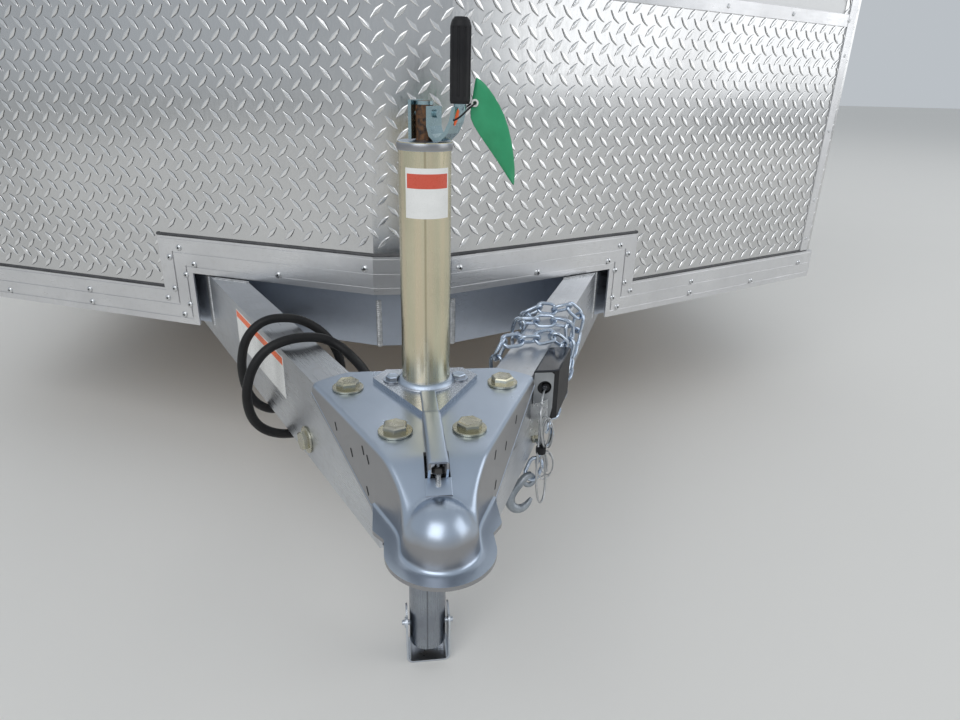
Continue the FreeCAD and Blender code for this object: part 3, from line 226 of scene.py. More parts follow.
beamFinish = dict(colour=(0.60, 0.62, 0.65), shade=(0.50, 0.52, 0.55), blotch=7.0, gloss=(0.24, 0.42),
                  stretch=(3, 0.04, 3), grain=300.0, bump=0.012, dust=(0.36, 0.34, 0.31, 0.3))
finishes = {
    "treadPlate": dict(colour=(0.66, 0.66, 0.66), shade=(0.59, 0.59, 0.59), blotch=3.0, gloss=(0.12, 0.22),
                       stretch=(1, 1, 0.25), grain=260.0, bump=0.012, dust=(0.50, 0.47, 0.40, 0.12)),
    # The bars are lighter than the sheet they are pressed from: a painted highlight on their raised faces
    "treadBar": dict(colour=(0.84, 0.84, 0.84), shade=(0.76, 0.76, 0.76), blotch=60.0, gloss=(0.16, 0.26),
                     grain=500.0, bump=0.01),
    "trimAluminium": dict(colour=(0.73, 0.73, 0.74), shade=(0.64, 0.64, 0.65), blotch=7.0, gloss=(0.26, 0.40),
                          stretch=(0.05, 0.05, 3), grain=420.0, bump=0.02, dust=(0.46, 0.44, 0.40, 0.2)),
    "beamLeft": dict(beamFinish, turn=beamTurn),
    "beamRight": dict(beamFinish, turn=-beamTurn),
    "millAluminium": dict(colour=(0.47, 0.51, 0.58), shade=(0.39, 0.43, 0.50), blotch=5.0, gloss=(0.26, 0.42),
                          stretch=(0.05, 0.4, 3), grain=380.0, bump=0.02, dust=(0.30, 0.31, 0.33, 0.2)),
    # Its side colour is painted shade on the upright skirts, standing in for the dark ground they would reflect
    "coatedZinc": dict(colour=(0.49, 0.56, 0.66), shade=(0.44, 0.51, 0.61), blotch=6.0, gloss=(0.27, 0.33),
                       grain=30.0, bump=0.0005, side=(0.33, 0.33, 0.34)),
    "legZinc": dict(colour=(0.34, 0.37, 0.41), shade=(0.26, 0.28, 0.32), blotch=20.0, gloss=(0.22, 0.36),
                    stretch=(2.5, 2.5, 0.12), grain=240.0, bump=0.01, dust=(0.24, 0.22, 0.19, 0.2),
                    seam=(0.12, 0.13, 0.15, -0.0015, 0.0006)),
    "strapZinc": dict(colour=(0.68, 0.72, 0.77), shade=(0.56, 0.60, 0.66), blotch=40.0, gloss=(0.25, 0.38),
                      grain=300.0, bump=0.004),
    "crankZinc": dict(colour=(0.38, 0.51, 0.54), shade=(0.32, 0.43, 0.47), blotch=30.0, gloss=(0.2, 0.3),
                      grain=120.0, bump=0.002),
    "jackZinc": dict(colour=(0.64, 0.61, 0.45), shade=(0.54, 0.52, 0.38), blotch=12.0, gloss=(0.2, 0.3),
                     stretch=(2.5, 2.5, 0.12), grain=120.0, bump=0.002, bands=(0.70, 0.60, 0.44, 55.0),
                     seam=(0.38, 0.33, 0.22, -0.0015, 0.0007), lower=(0.50, 0.54, 0.60, 0.434)),
    "chainZinc": dict(colour=(0.58, 0.65, 0.74), shade=(0.44, 0.52, 0.64), blotch=60.0, gloss=(0.14, 0.28),
                      grain=420.0, bump=0.01),
    "yellowZinc": dict(colour=(0.50, 0.48, 0.36), shade=(0.46, 0.45, 0.39), blotch=45.0, gloss=(0.22, 0.32),
                       grain=200.0, bump=0.004),
    "weldBead": dict(colour=(0.56, 0.57, 0.58), shade=(0.38, 0.39, 0.40), blotch=140.0, gloss=(0.30, 0.48),
                     grain=500.0, bump=0.06),
    "wheelAlloy": dict(colour=(0.70, 0.71, 0.73), shade=(0.60, 0.61, 0.63), blotch=12.0, gloss=(0.20, 0.34),
                       grain=300.0, bump=0.02, dust=(0.30, 0.27, 0.23, 0.35)),
    "rivetSteel": dict(colour=(0.72, 0.73, 0.74), shade=(0.58, 0.59, 0.60), blotch=120.0, gloss=(0.16, 0.3),
                       grain=700.0, bump=0.02),
    "hookSteel": dict(colour=(0.42, 0.45, 0.48), shade=(0.30, 0.33, 0.36), blotch=60.0, gloss=(0.35, 0.55),
                      grain=500.0, bump=0.15),
    "hubCap": dict(colour=(0.66, 0.67, 0.68), shade=(0.56, 0.57, 0.58), blotch=30.0, gloss=(0.12, 0.24),
                   grain=500.0, bump=0.02),
    "castIron": dict(colour=(0.16, 0.14, 0.13), shade=(0.24, 0.15, 0.10), blotch=22.0, gloss=(0.55, 0.75),
                     grain=420.0, bump=0.25),
    "steelWire": dict(colour=(0.55, 0.56, 0.57), shade=(0.40, 0.41, 0.42), blotch=200.0, gloss=(0.25, 0.4),
                      grain=2200.0, bump=0.1),
}
metals = {name: metal(name, look) for name, look in finishes.items()}


# Rubber, plastic and paint: a dull surface with dust in its hollows
def dull(name, look):
    made, tree, shader, place = startMaterial(name, Specular_IOR_Level=look.get("shine", 0.5))
    fine = noise(tree, place, look["grain"], 4.0)
    broad = noise(tree, place, look["blotch"], 4.0)
    base = mixed(tree, spread(tree, broad, 0.0, 1.0), look["colour"], look["shade"])
    painted(tree, shader, base, spread(tree, fine, *look["gloss"]))
    bumped(tree, shader, fine, look["bump"] / 1000)
    return made


dullFinishes = {
    "cableJacket": dict(colour=(0.009, 0.009, 0.010), shade=(0.016, 0.016, 0.016), blotch=30.0, grain=900.0,
                        gloss=(0.38, 0.55), bump=0.05, shine=0.25),
    "blackPlastic": dict(colour=(0.016, 0.016, 0.018), shade=(0.026, 0.026, 0.027), blotch=25.0, grain=1400.0,
                         gloss=(0.4, 0.55), bump=0.05, shine=0.15),
    # Black paint for the axles, also used as painted shade on the latch's nut, clamp and arm
    "axlePaint": dict(colour=(0.030, 0.030, 0.032), shade=(0.060, 0.055, 0.050), blotch=14.0, grain=500.0,
                      gloss=(0.3, 0.5), bump=0.08),
    "greyPlastic": dict(colour=(0.30, 0.31, 0.32), shade=(0.24, 0.25, 0.26), blotch=40.0, grain=900.0,
                        gloss=(0.4, 0.55), bump=0.05),
    # Near black for the rivets' holes and the skirts' slots: painted shade in their hollows
    "darkHollow": dict(colour=(0.012, 0.012, 0.013), shade=(0.02, 0.02, 0.02), blotch=40.0, grain=600.0,
                       gloss=(0.6, 0.8), bump=0.05),
    "sealant": dict(colour=(0.045, 0.045, 0.048), shade=(0.075, 0.075, 0.078), blotch=60.0, grain=300.0,
                    gloss=(0.4, 0.6), bump=0.15),
    "whiteLabel": dict(colour=(0.84, 0.84, 0.82), shade=(0.78, 0.78, 0.76), blotch=35.0, grain=800.0,
                       gloss=(0.25, 0.35), bump=0.02),
    "redLabel": dict(colour=(0.66, 0.10, 0.06), shade=(0.60, 0.09, 0.05), blotch=35.0, grain=800.0,
                     gloss=(0.25, 0.35), bump=0.02),
    "greenTag": dict(colour=(0.02, 0.26, 0.11), shade=(0.03, 0.33, 0.15), blotch=28.0, grain=700.0,
                     gloss=(0.35, 0.5), bump=0.08),
    "rustedScrew": dict(colour=(0.008, 0.007, 0.007), shade=(0.17, 0.075, 0.025), blotch=240.0, grain=900.0,
                        gloss=(0.55, 0.8), bump=0.35),
    "glossBlack": dict(colour=(0.012, 0.014, 0.02), shade=(0.02, 0.022, 0.03), blotch=30.0, grain=1500.0,
                       gloss=(0.10, 0.18), bump=0.02),
    "orangeLabel": dict(colour=(0.95, 0.15, 0.02), shade=(0.90, 0.13, 0.02), blotch=35.0, grain=800.0,
                        gloss=(0.25, 0.35), bump=0.02),
}
dulls = {name: dull(name, look) for name, look in dullFinishes.items()}


# Painted sheet, in panels along the body: half a panel's pitch, the first joint's place and its width, in metres
panels = {"halfPitch": 0.6095, "first": 0.374, "joint": 0.0022}


def skinMaterial(look):
    made, tree, shader, place = startMaterial("paintedSkin", Coat_Weight=0.1, Coat_Roughness=0.3,
                                              Specular_IOR_Level=0.35)
    axes = split(tree, place)
    broad = noise(tree, place, 1.6, 3.0)
    base = mixed(tree, spread(tree, broad, 0.0, 1.0), (0.80, 0.80, 0.80), (0.77, 0.77, 0.77))
    # Road dust rises from the bottom edge, and a lap joint crosses the skin at each panel
    specks = spread(tree, noise(tree, place, 7.0, 6.0), 0.0, 0.4, 0.4, 0.75)
    splash = sums(tree, "MULTIPLY", spread(tree, axes["Z"], 1.0, 0.0, 0.3, 0.9), specks)
    base = mixed(tree, splash, base, (0.62, 0.58, 0.52))
    lap = sums(tree, "PINGPONG", sums(tree, "ADD", axes["Y"], look["first"]), look["halfPitch"])
    joint = spread(tree, lap, 1.0, 0.0, 0.0, look["joint"])
    base = mixed(tree, joint, base, (0.36, 0.36, 0.36))
    painted(tree, shader, base, spread(tree, noise(tree, place, 3.0, 2.0), 0.38, 0.43))
    bumped(tree, shader, noise(tree, place, 1.4, 1.0), 0.003, 0.2)
    return made


def plywoodMaterial():
    made, tree, shader, place = startMaterial("plywood")
    grain = noise(tree, stretched(tree, place, (9, 0.5, 9)), 7.0, 6.0, 0.62)
    rings = addNode(tree, "ShaderNodeTexWave", {"Vector": stretched(tree, place, (1, 0.07, 1)), "Scale": 9.0,
                                                "Distortion": 9.0, "Detail": 3.0}).outputs[1]
    base = mixed(tree, spread(tree, grain, 0.0, 1.0), (0.62, 0.47, 0.30), (0.50, 0.35, 0.21))
    base = mixed(tree, spread(tree, rings, 0.0, 0.45, 0.2, 0.9), base, (0.42, 0.29, 0.17))
    painted(tree, shader, base, spread(tree, grain, 0.5, 0.72))
    bumped(tree, shader, grain, 0.0004)
    return made


def rubberMaterial():
    made, tree, shader, place = startMaterial("tyreRubber")
    dust = spread(tree, noise(tree, place, 26.0, 6.0, 0.65), 0.0, 0.6, 0.45, 0.75)
    low = spread(tree, split(tree, place)["Z"], 1.0, 0.35, 0.0, 0.35)
    base = mixed(tree, sums(tree, "MULTIPLY", dust, low), (0.028, 0.028, 0.030), (0.20, 0.18, 0.15))
    painted(tree, shader, base, spread(tree, noise(tree, place, 160.0), 0.55, 0.78))
    bumped(tree, shader, noise(tree, place, 600.0, 3.0), 0.0002)
    return made


# A lens with fine ribs behind its clear face
def lensMaterial(name, tint, deep):
    made, tree, shader, place = startMaterial(name, Coat_Weight=1.0, Coat_Roughness=0.04, Transmission_Weight=0.25,
                                              Roughness=0.12, IOR=1.49)
    ribs = sums(tree, "PINGPONG", split(tree, place)["Z"], 0.0022)
    cells = addNode(tree, "ShaderNodeTexVoronoi", {"Vector": place, "Scale": 260.0}).outputs["Distance"]
    base = mixed(tree, spread(tree, cells, 0.0, 1.0, 0.1, 0.6), tint, deep)
    tree.links.new(base, shader.inputs["Base Color"])
    bumped(tree, shader, ribs, 0.4)
    return made


# Clear film, cloudy where it is scuffed
def filmMaterial():
    made, tree, shader, place = startMaterial("clearFilm", Transmission_Weight=0.8, IOR=1.25)
    scuffs = noise(tree, place, 130.0, 5.0, 0.7)
    base = mixed(tree, spread(tree, scuffs, 0.0, 1.0), (0.92, 0.93, 0.94), (0.76, 0.77, 0.77))
    painted(tree, shader, base, spread(tree, scuffs, 0.18, 0.5))
    bumped(tree, shader, noise(tree, place, 45.0), 0.0006)
    return made


skin = skinMaterial(panels)
clearFilm = filmMaterial()
plywood = plywoodMaterial()
tyreRubber = rubberMaterial()
redLens = lensMaterial("redLens", (0.60, 0.02, 0.02), (0.35, 0.01, 0.01))
amberLens = lensMaterial("amberLens", (0.90, 0.36, 0.03), (0.65, 0.20, 0.02))
print("materials made:", len(bpy.data.materials))

slotFinish = {
    "tyre": tyreRubber, "wheel_alloy": metals["wheelAlloy"], "plywood": plywood, "skin": skin,
    "tread_plate": metals["treadPlate"], "mill_aluminium": metals["millAluminium"],
    "axle_steel": dulls["axlePaint"], "zinc_steel": metals["coatedZinc"], "jack_steel": metals["jackZinc"],
    "black_rubber": dulls["cableJacket"], "black_plastic": dulls["blackPlastic"], "lamp_red": redLens,
    "lamp_amber": amberLens, "trim_aluminium": metals["trimAluminium"],
}
ownFinish = {"tongue_beam_left": metals["beamLeft"], "tongue_beam_right": metals["beamRight"],
             "jack_crank": metals["crankZinc"], "coupler_latch": metals["coatedZinc"],
             "jack_leg": metals["legZinc"], "jack_foot": metals["legZinc"]}
for part in frame["record"]["subparts"]:
    finish = ownFinish.get(part["node"], slotFinish[part["material_slot"]])
    for held in nodes[part["node"]].material_slots:
        held.material = finish
print("finishes on the nodes")


# Mesh helpers
def cleaned(mesh):
    shape = bmesh.new()
    shape.from_mesh(mesh)
    bmesh.ops.remove_doubles(shape, verts=shape.verts, dist=1e-6)
    bmesh.ops.recalc_face_normals(shape, faces=shape.faces)
    shape.to_mesh(mesh)
    shape.free()
    return mesh


def plainMesh(name, points, faces, finish):
    mesh = bpy.data.meshes.new(name)
    mesh.from_pydata([tuple(point) for point in points], [], faces)
    mesh.materials.append(finish)
    return cleaned(mesh)


def addObject(name, mesh, smooth=None):
    made = bpy.data.objects.new(name, mesh)
    bpy.context.scene.collection.objects.link(made)
    if smooth is not None:
        for face in mesh.polygons:
            face.use_smooth = True
        mesh.set_sharp_from_angle(angle=radians(smooth))
    return made


def settle(made, body, slot, *replaced):
    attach(made, body)
    if replaced:
        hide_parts(*replaced)
    return made


# An open sheet's faces all turned the one way
def faced(mesh, aim):
    if sum(face.normal.dot(aim) for face in mesh.polygons) < 0:
        mesh.flip_normals()
    return mesh


# A finished piece from its points and faces
def shaped(name, form, finish, smooth, body, slot, *replaced):
    return settle(addObject(name, plainMesh(name, *form, finish), smooth), body, slot, *replaced)


# A full circle's angles in even steps
def turns(count):
    return [2 * pi * k / count for k in range(count)]


# Several forms, each points and faces, as one
def joined(forms):
    points, faces = [], []
    for more, rest in forms:
        faces += [tuple(index + len(points) for index in face) for face in rest]
        points += more
    return points, faces


# Rings of points joined one to the next, with both ends closed
def loft(rings, closedEnds=True, ringClosed=True):
    count = len(rings[0])
    points = [point for ring in rings for point in ring]
    faces = []
    for row in range(len(rings) - 1):
        for k in range(count if ringClosed else count - 1):
            j = (k + 1) % count
            faces.append((row * count + k, row * count + j, (row + 1) * count + j, (row + 1) * count + k))
    if closedEnds:
        faces.append(tuple(range(count))[::-1])
        faces.append(tuple(range((len(rings) - 1) * count, len(rings) * count)))
    return points, faces


# Rings of a profile of (radius, height) turned about the upright axis
def turnedRings(profile, steps):
    return [[Vector((max(radius, 0.0005) * cos(turn), max(radius, 0.0005) * sin(turn), height)) / 1000
             for turn in turns(steps)] for radius, height in profile]


# The same, standing at a place along a direction
def turnedAt(profile, steps, place, aim):
    turn = upward.rotation_difference(aim).to_matrix()
    return [[turn @ point + place for point in row] for row in turnedRings(profile, steps)]


# A turned piece at a place, or on the jack's axis
def turnedPiece(name, profile, steps, finish, slot, smooth=35, place=spot(0, 0, 0)):
    rings = [[point + place for point in row] for row in turnedRings(profile, steps)]
    return shaped(name, loft(rings), finish, smooth, "chassis", slot)


# A bolt, rivet or the like as an object of its own, kept only while it is copied
def prototype(name, points, faces, smooth=None):
    return addObject(name, plainMesh(name, points, faces, dulls["blackPlastic"]), smooth)


def turnedPrototype(name, profile, steps, smooth=None):
    return prototype(name, *loft(turnedRings(profile, steps)), smooth)


def treeSockets(tree, inputs):
    kinds = {"object": "NodeSocketObject", "number": "NodeSocketFloat", "finish": "NodeSocketMaterial",
             "shape": "NodeSocketGeometry"}
    for name, kind in inputs:
        tree.interface.new_socket(name, in_out="INPUT", socket_type=kinds[kind])
    tree.interface.new_socket("Geometry", in_out="OUTPUT", socket_type="NodeSocketGeometry")
    return addNode(tree, "NodeGroupInput").outputs, addNode(tree, "NodeGroupOutput")


def closeTree(tree, shape, finish, out):
    real = addNode(tree, "GeometryNodeRealizeInstances", {0: shape}).outputs[0]
    finished = addNode(tree, "GeometryNodeSetMaterial", {"Geometry": real, "Material": finish}).outputs[0]
    tree.links.new(finished, out.inputs[0])


# Copies of one object on points, each turned by the point's facing and along attributes
def copiesTree():
    tree = bpy.data.node_groups.new("copiesOnPoints", "GeometryNodeTree")
    given, out = treeSockets(tree, (("Points", "shape"), ("Copy", "object"), ("Size", "number"),
                                    ("Finish", "finish")))
    held = addNode(tree, "GeometryNodeObjectInfo", {"Object": given["Copy"]}).outputs["Geometry"]
    axes = [addNode(tree, "GeometryNodeInputNamedAttribute", {"Name": name}, data_type="FLOAT_VECTOR").outputs[0]
            for name in ("facing", "along")]
    turn = addNode(tree, "FunctionNodeAxesToRotation", {0: axes[0], 1: axes[1]}, primary_axis="Z", secondary_axis="X")
    laid = addNode(tree, "GeometryNodeInstanceOnPoints", {"Points": given["Points"], "Instance": held,
                                                          "Rotation": turn.outputs[0], "Scale": given["Size"]})
    closeTree(tree, laid.outputs[0], given["Finish"], out)
    return tree


def runTree(name, base, tree, inputs, smooth=None):
    carrier = addObject(name, base)
    modifier = carrier.modifiers.new("nodes", "NODES")
    modifier.node_group = tree
    for item in tree.interface.items_tree:
        if item.item_type == "SOCKET" and item.in_out == "INPUT" and item.name in inputs:
            modifier[item.identifier] = inputs[item.name]
    carrier.update_tag()
    depsgraph = bpy.context.evaluated_depsgraph_get()
    mesh = bpy.data.meshes.new_from_object(carrier.evaluated_get(depsgraph))
    bpy.data.objects.remove(carrier)
    for attribute in [a.name for a in mesh.attributes if a.name in ("facing", "along")]:
        mesh.attributes.remove(mesh.attributes[attribute])
    mesh.name = name
    return addObject(name, mesh, smooth)


copies = copiesTree()


# Each place is a point with the way its copy faces and, where that matters, the way its X axis lies
def pointMesh(name, places):
    mesh = bpy.data.meshes.new(name)
    mesh.from_pydata([tuple(place[0]) for place in places], [], [])
    for k, label in ((1, "facing"), (2, "along")):
        held = mesh.attributes.new(label, "FLOAT_VECTOR", "POINT")
        for row, place in zip(held.data, places):
            fallback = upward if abs(place[1].z) < 0.9 else Vector((1, 0, 0))
            row.vector = place[k] if len(place) > k else fallback
    return mesh


def placeCopies(name, places, copied, finish, body, slot, size=1.0, smooth=None, replaced=()):
    made = runTree(name, pointMesh(name, places), copies, {"Copy": copied, "Size": size, "Finish": finish}, smooth)
    settle(made, body, slot, *replaced)


def forget(*prototypes):
    for made in prototypes:
        bpy.data.objects.remove(made)


# A modifier's or curve's result as a plain mesh object
def fixed(name, held, smooth):
    depsgraph = bpy.context.evaluated_depsgraph_get()
    mesh = bpy.data.meshes.new_from_object(held.evaluated_get(depsgraph))
    bpy.data.objects.remove(held)
    mesh.name = name
    return addObject(name, cleaned(mesh), smooth)


# A sheet's thickness, left as a modifier or made real
def walled(held, sheet):
    wall = held.modifiers.new("sheet", "SOLIDIFY")
    wall.thickness = sheet / 1000
    wall.offset = -1
    return held


def thickened(held, sheet, smooth):
    return fixed(held.name, walled(held, sheet), smooth)


# Smooth line through a cord's points
def splineObject(name, points, radius, finish, order=3, sides=5, cyclic=False):
    curve = bpy.data.curves.new(name, "CURVE")
    curve.dimensions = "3D"
    curve.bevel_depth = radius / 1000
    curve.bevel_resolution = sides
    curve.use_fill_caps = True
    curve.resolution_u = 12
    line = curve.splines.new("NURBS")
    line.points.add(len(points) - 1)
    for held, point in zip(line.points, points):
        held.co = (*point, 1.0)
    line.order_u = order
    line.use_endpoint_u = not cyclic
    line.use_cyclic_u = cyclic
    curve.materials.append(finish)
    made = bpy.data.objects.new(name, curve)
    bpy.context.scene.collection.objects.link(made)
    return made


# Supply cable: square offset from the jack's axis, distance along the right beam, height
supplyCable = {
    "radius": 6.75,
    "length": 1.27,
    "route": ((14.0, 554.45, 342), (38.54, 533.91, 342), (49.5, 505, 341), (50, 470, 338), (50, 432, 328),
              (50, 390, 306), (58, 350, 284), (80, 328, 272), (110, 317, 279), (134, 311, 302), (146, 307, 337),
              (147, 304, 376), (137, 302, 412), (110, 298, 436), (72, 293, 435), (46, 287, 424), (22, 278, 402),
              (8, 268, 372), (8, 258, 338), (20, 249, 303), (47, 241, 279), (82, 235, 271), (118, 229, 279),
              (146, 225, 297), (162, 219, 325), (165, 216, 362), (154, 214, 399), (131, 213, 424), (98, 210, 433.5),
              (58, 206, 430), (34, 194, 416), (24, 166, 403), (27, 128, 402), (38, 76, 403), (41, 45, 370),
              (41, 44, 326)),
}


def makeSupplyCable(look):
    points = [rightBeamSpot(*row) for row in look["route"]]
    cable = splineObject("supplyCable", points, look["radius"], dulls["cableJacket"])
    settle(cable, "chassis", "black_rubber", "supply_cable")


makeSupplyCable(supplyCable)
print("supply cable laid")


# Tread plate: bars leaning both ways on a grid over the nose's lower sheet and corner strips
treadPlate = {"pitchAcross": 35.6, "pitchUp": 35.0, "length": 30.0, "width": 8.4, "height": 1.3, "lean": 45.0,
              "top": 925.0, "reach": 1140.0, "stripInner": 1082.0, "stripTop": 2350.0, "shift": (5.0, 4.0),
              "edge": 6.0, "foot": 8.0, "seat": 8.0, "trimStep": 505.0, "trimZ": (492.0, 390.0)}


def barPrototype(name, look, lean):
    rings = []
    for share, rise in ((1.0, 0.0), (0.78, 0.8), (0.42, 1.0)):
        ring = []
        for k, turn in enumerate(turns(12)):
            along = cos(turn)
            across = (1 if sin(turn) > 0 else -1) * (1 - abs(along) ** 1.4) if k % 6 else 0.0
            ring.append((along * look["length"] / 2 * (1 - 0.22 * (1 - share)), across * look["width"] / 2 * share,
                         rise * look["height"]))
        rings.append(ring)
    turned = radians(lean)
    spun = [[Vector((a * cos(turned) - b * sin(turned), -h, a * sin(turned) + b * cos(turned))) / 1000
             for a, b, h in ring] for ring in rings]
    return prototype(name, *loft(spun), 40)


# Flat sheet's points are (across, out, up); the tree lays bars on them and folds the sheet round the nose's bends
def foldTree():
    tree = bpy.data.node_groups.new("barsOnNose", "GeometryNodeTree")
    given, out = treeSockets(tree, (("Points", "shape"), ("Bar", "object"), ("Half Flat", "number"),
                                    ("Slope", "number"), ("Front", "number"), ("Finish", "finish")))

    def taken(kind, *values):
        return sums(tree, kind, *values)

    bar = addNode(tree, "GeometryNodeObjectInfo", {"Object": given["Bar"]}).outputs["Geometry"]
    laid = addNode(tree, "GeometryNodeInstanceOnPoints", {"Points": given["Points"], "Instance": bar}).outputs[0]
    real = addNode(tree, "GeometryNodeRealizeInstances", {0: laid}).outputs[0]
    flat = split(tree, addNode(tree, "GeometryNodeInputPosition").outputs[0])
    across, halfFlat = taken("ABSOLUTE", flat["X"]), given["Half Flat"]
    over = taken("MAXIMUM", taken("SUBTRACT", across, halfFlat), 0.0)
    slope = taken("MULTIPLY", taken("GREATER_THAN", over, 0.0), given["Slope"])
    sine, cosine = taken("SINE", slope), taken("COSINE", slope)
    bent = taken("SUBTRACT", taken("MULTIPLY", over, cosine), taken("MULTIPLY", flat["Y"], sine))
    run = taken("ADD", taken("MINIMUM", across, halfFlat), bent)
    depth = taken("ADD", taken("MULTIPLY", over, sine), taken("MULTIPLY", flat["Y"], cosine))
    place = addNode(tree, "ShaderNodeCombineXYZ", {"X": taken("MULTIPLY", taken("SIGN", flat["X"]), run),
                                                   "Y": taken("ADD", depth, given["Front"]), "Z": flat["Z"]})
    moved = addNode(tree, "GeometryNodeSetPosition", {"Geometry": real, "Position": place.outputs[0]}).outputs[0]
    closeTree(tree, moved, given["Finish"], out)
    return tree


def makeTreadPlate(look):
    tree = foldTree()
    columns = ceil(look["reach"] / look["pitchAcross"])
    rows = ceil(look["stripTop"] / look["pitchUp"])
    for name, lean, shift in (("treadBarsDown", 90 + look["lean"], 0.0), ("treadBarsUp", look["lean"], 0.5)):
        places = []
        for i in range(-columns, columns + 1):
            for k in range(rows):
                across = (i + shift) * look["pitchAcross"] + look["shift"][0]
                up = (k + shift) * look["pitchUp"] + look["shift"][1]
                # The trim covers the sheet's foot, higher where it steps over the beams
                covered = look["trimZ"][0 if abs(across) < look["trimStep"] else 1]
                onSheet = abs(across) <= look["reach"] - look["edge"] and up >= covered + look["foot"]
                onStrip = abs(across) >= look["stripInner"] + look["edge"] and up <= look["stripTop"]
                if onSheet and (up <= look["top"] or onStrip):
                    places.append((Vector((across / 1000, 0, up / 1000)), upward))
        bar = barPrototype("bar", look, lean)
        # The bars take the lighter finish, a painted highlight
        made = runTree(name, pointMesh(name, places), tree,
                       {"Bar": bar, "Half Flat": nose["halfFlat"] / 1000, "Slope": noseTurn,
                        "Front": (nose["frontY"] + look["seat"]) / 1000 + jackY, "Finish": metals["treadBar"]}, 40)
        forget(bar)
        settle(made, "chassis", "tread_plate")


makeTreadPlate(treadPlate)
print("tread plate laid")


# Pressed coupler: rows of points across it, from round the ball's front back to its rear corners
coupler = {"ballY": -228.0, "ballZ": 375.5, "dome": 33.0, "plateTop": 424.5, "bendY": -170.0, "fall": 0.62,
           "neckHalf": 35.5, "edgeOffset": 117.9, "fold": 6.5, "flangeZ": 357.0, "flangeReach": 52.6,
           "earHalf": 64.5, "earY": (-208.0, -147.0), "earRamp": 15.0, "skirtZ": (347.0, 412.0), "cornerY": 13.5,
           "rearHalf": 95.0, "rearY": 45.0, "sheet": 4.5, "slotHalf": 12.5, "slotY": (-191.5, -161.0),
           "tubeHole": 31.0, "tab": (13.0, 1.7, -207.0), "wallLean": 1.6, "lip": 2.2, "frontLean": 1.8,
           "fillet": 5.0, "frontShares": (0.58, 0.78, 0.92), "fan": 16}


# The larger of two values, blended where they meet
def softest(first, second, blend):
    apart = (first - second) / blend
    return second + blend * log1p(exp(min(apart, 40.0))) if apart > -40 else second


def eased(value, start, end):
    share = min(1.0, max(0.0, (value - start) / (end - start)))
    return share * share * (3 - 2 * share)


def between(first, second, share):
    return first + (second - first) * share


# Corner of a path rounded by an arc, as a number of points
def arcPoints(before, corner, after, radius, count):
    into = (Vector(corner) - Vector(before)).normalized()
    out = (Vector(after) - Vector(corner)).normalized()
    half = into.angle(out) / 2
    reach = min(radius * tan(half), (Vector(corner) - Vector(before)).length * 0.98,
                (Vector(after) - Vector(corner)).length * 0.98)
    start, end = Vector(corner) - into * reach, Vector(corner) + out * reach
    made = []
    for k in range(count):
        share = k / (count - 1)
        made.append(start * (1 - share) ** 2 + Vector(corner) * 2 * share * (1 - share) + end * share ** 2)
    return made


# Half a cross-section: ridge, fold, wall, foot and flange, with the dome raised where it passes through
def sectionPoints(look, top, half, fold, foot, edge, footRound, domeShift=900.0):
    ridge = [0.0, 4.0, 8.0, look["slotHalf"]]
    ridge += [between(look["slotHalf"], half - fold, (k + 1) / 10) for k in range(10)]
    points = [Vector((across, top)) for across in ridge[:-1]]
    wallFoot = half + look["wallLean"]
    points += arcPoints((0, top), (half, top), (wallFoot, foot), fold, 8)
    points += [points[-1].lerp(Vector((wallFoot, foot + footRound)), (k + 1) / 5) for k in range(4)]
    points += arcPoints((half, top), (wallFoot, foot), (edge, foot), footRound, 6)
    points += [points[-1].lerp(Vector((edge, foot)), (k + 1) / 3) for k in range(3)]
    for point in points:
        inside = look["dome"] ** 2 - point.x ** 2 - domeShift ** 2
        if inside > 0 and point.y > foot + 20:
            point.y = softest(look["ballZ"] + sqrt(inside), point.y, 1.6)
    return points


# The section straight ahead of the ball: dome, wall, fillet and flange, each up to its share of the points
def frontPoints(look, count):
    dome, rise, flange = look["dome"], look["ballZ"], look["flangeZ"]
    lean, fillet = look["frontLean"], look["fillet"]
    domeEnd, wallEnd, filletEnd = look["frontShares"]
    points = []
    for k in range(count):
        share = k / (count - 1)
        if share < domeEnd:
            turn = share / domeEnd * pi / 2
            points.append(Vector((dome * sin(turn), rise + dome * cos(turn))))
        elif share < wallEnd:
            down = (share - domeEnd) / (wallEnd - domeEnd)
            points.append(Vector((dome + lean * down, between(rise, flange + fillet, down))))
        elif share < filletEnd:
            turn = (share - wallEnd) / (filletEnd - wallEnd) * pi / 2
            points.append(Vector((dome + lean + fillet - fillet * cos(turn), flange + fillet - fillet * sin(turn))))
        else:
            out = (share - filletEnd) / (1 - filletEnd)
            points.append(Vector((between(dome + lean + fillet, look["flangeReach"], out), flange)))
    return points


def couplerRow(look, y):
    line = y * tan(beamTurn) + look["edgeOffset"] / cos(beamTurn)
    half = softest(look["neckHalf"], line, 3.0)
    top = look["plateTop"] - look["fall"] * softest(look["bendY"] - y, 0.0, 5.0)
    fold = between(14.0, look["fold"], eased(y, look["ballY"], -195.0))
    earFront, earRear = look["earY"]
    low, high = look["skirtZ"]
    if y <= earRear:
        out = min(1.0, max(0.0, (y - earFront) / look["earRamp"]))
        edge = max(half + 5, between(look["flangeReach"] + 0.8, look["earHalf"], out))
        return sectionPoints(look, top, half, fold, look["flangeZ"], edge, 4.0, y - look["ballY"])
    if y > look["cornerY"]:
        half = between(half, look["rearHalf"], (y - look["cornerY"]) / (look["rearY"] - look["cornerY"]))
        return sectionPoints(look, top, half, 1.0, look["plateTop"] - 6, half + look["lip"], 0.4)
    foot = between(low, high, (y - earRear) / (look["cornerY"] - earRear))
    return sectionPoints(look, top, half, fold, foot, half + look["lip"], 0.4)


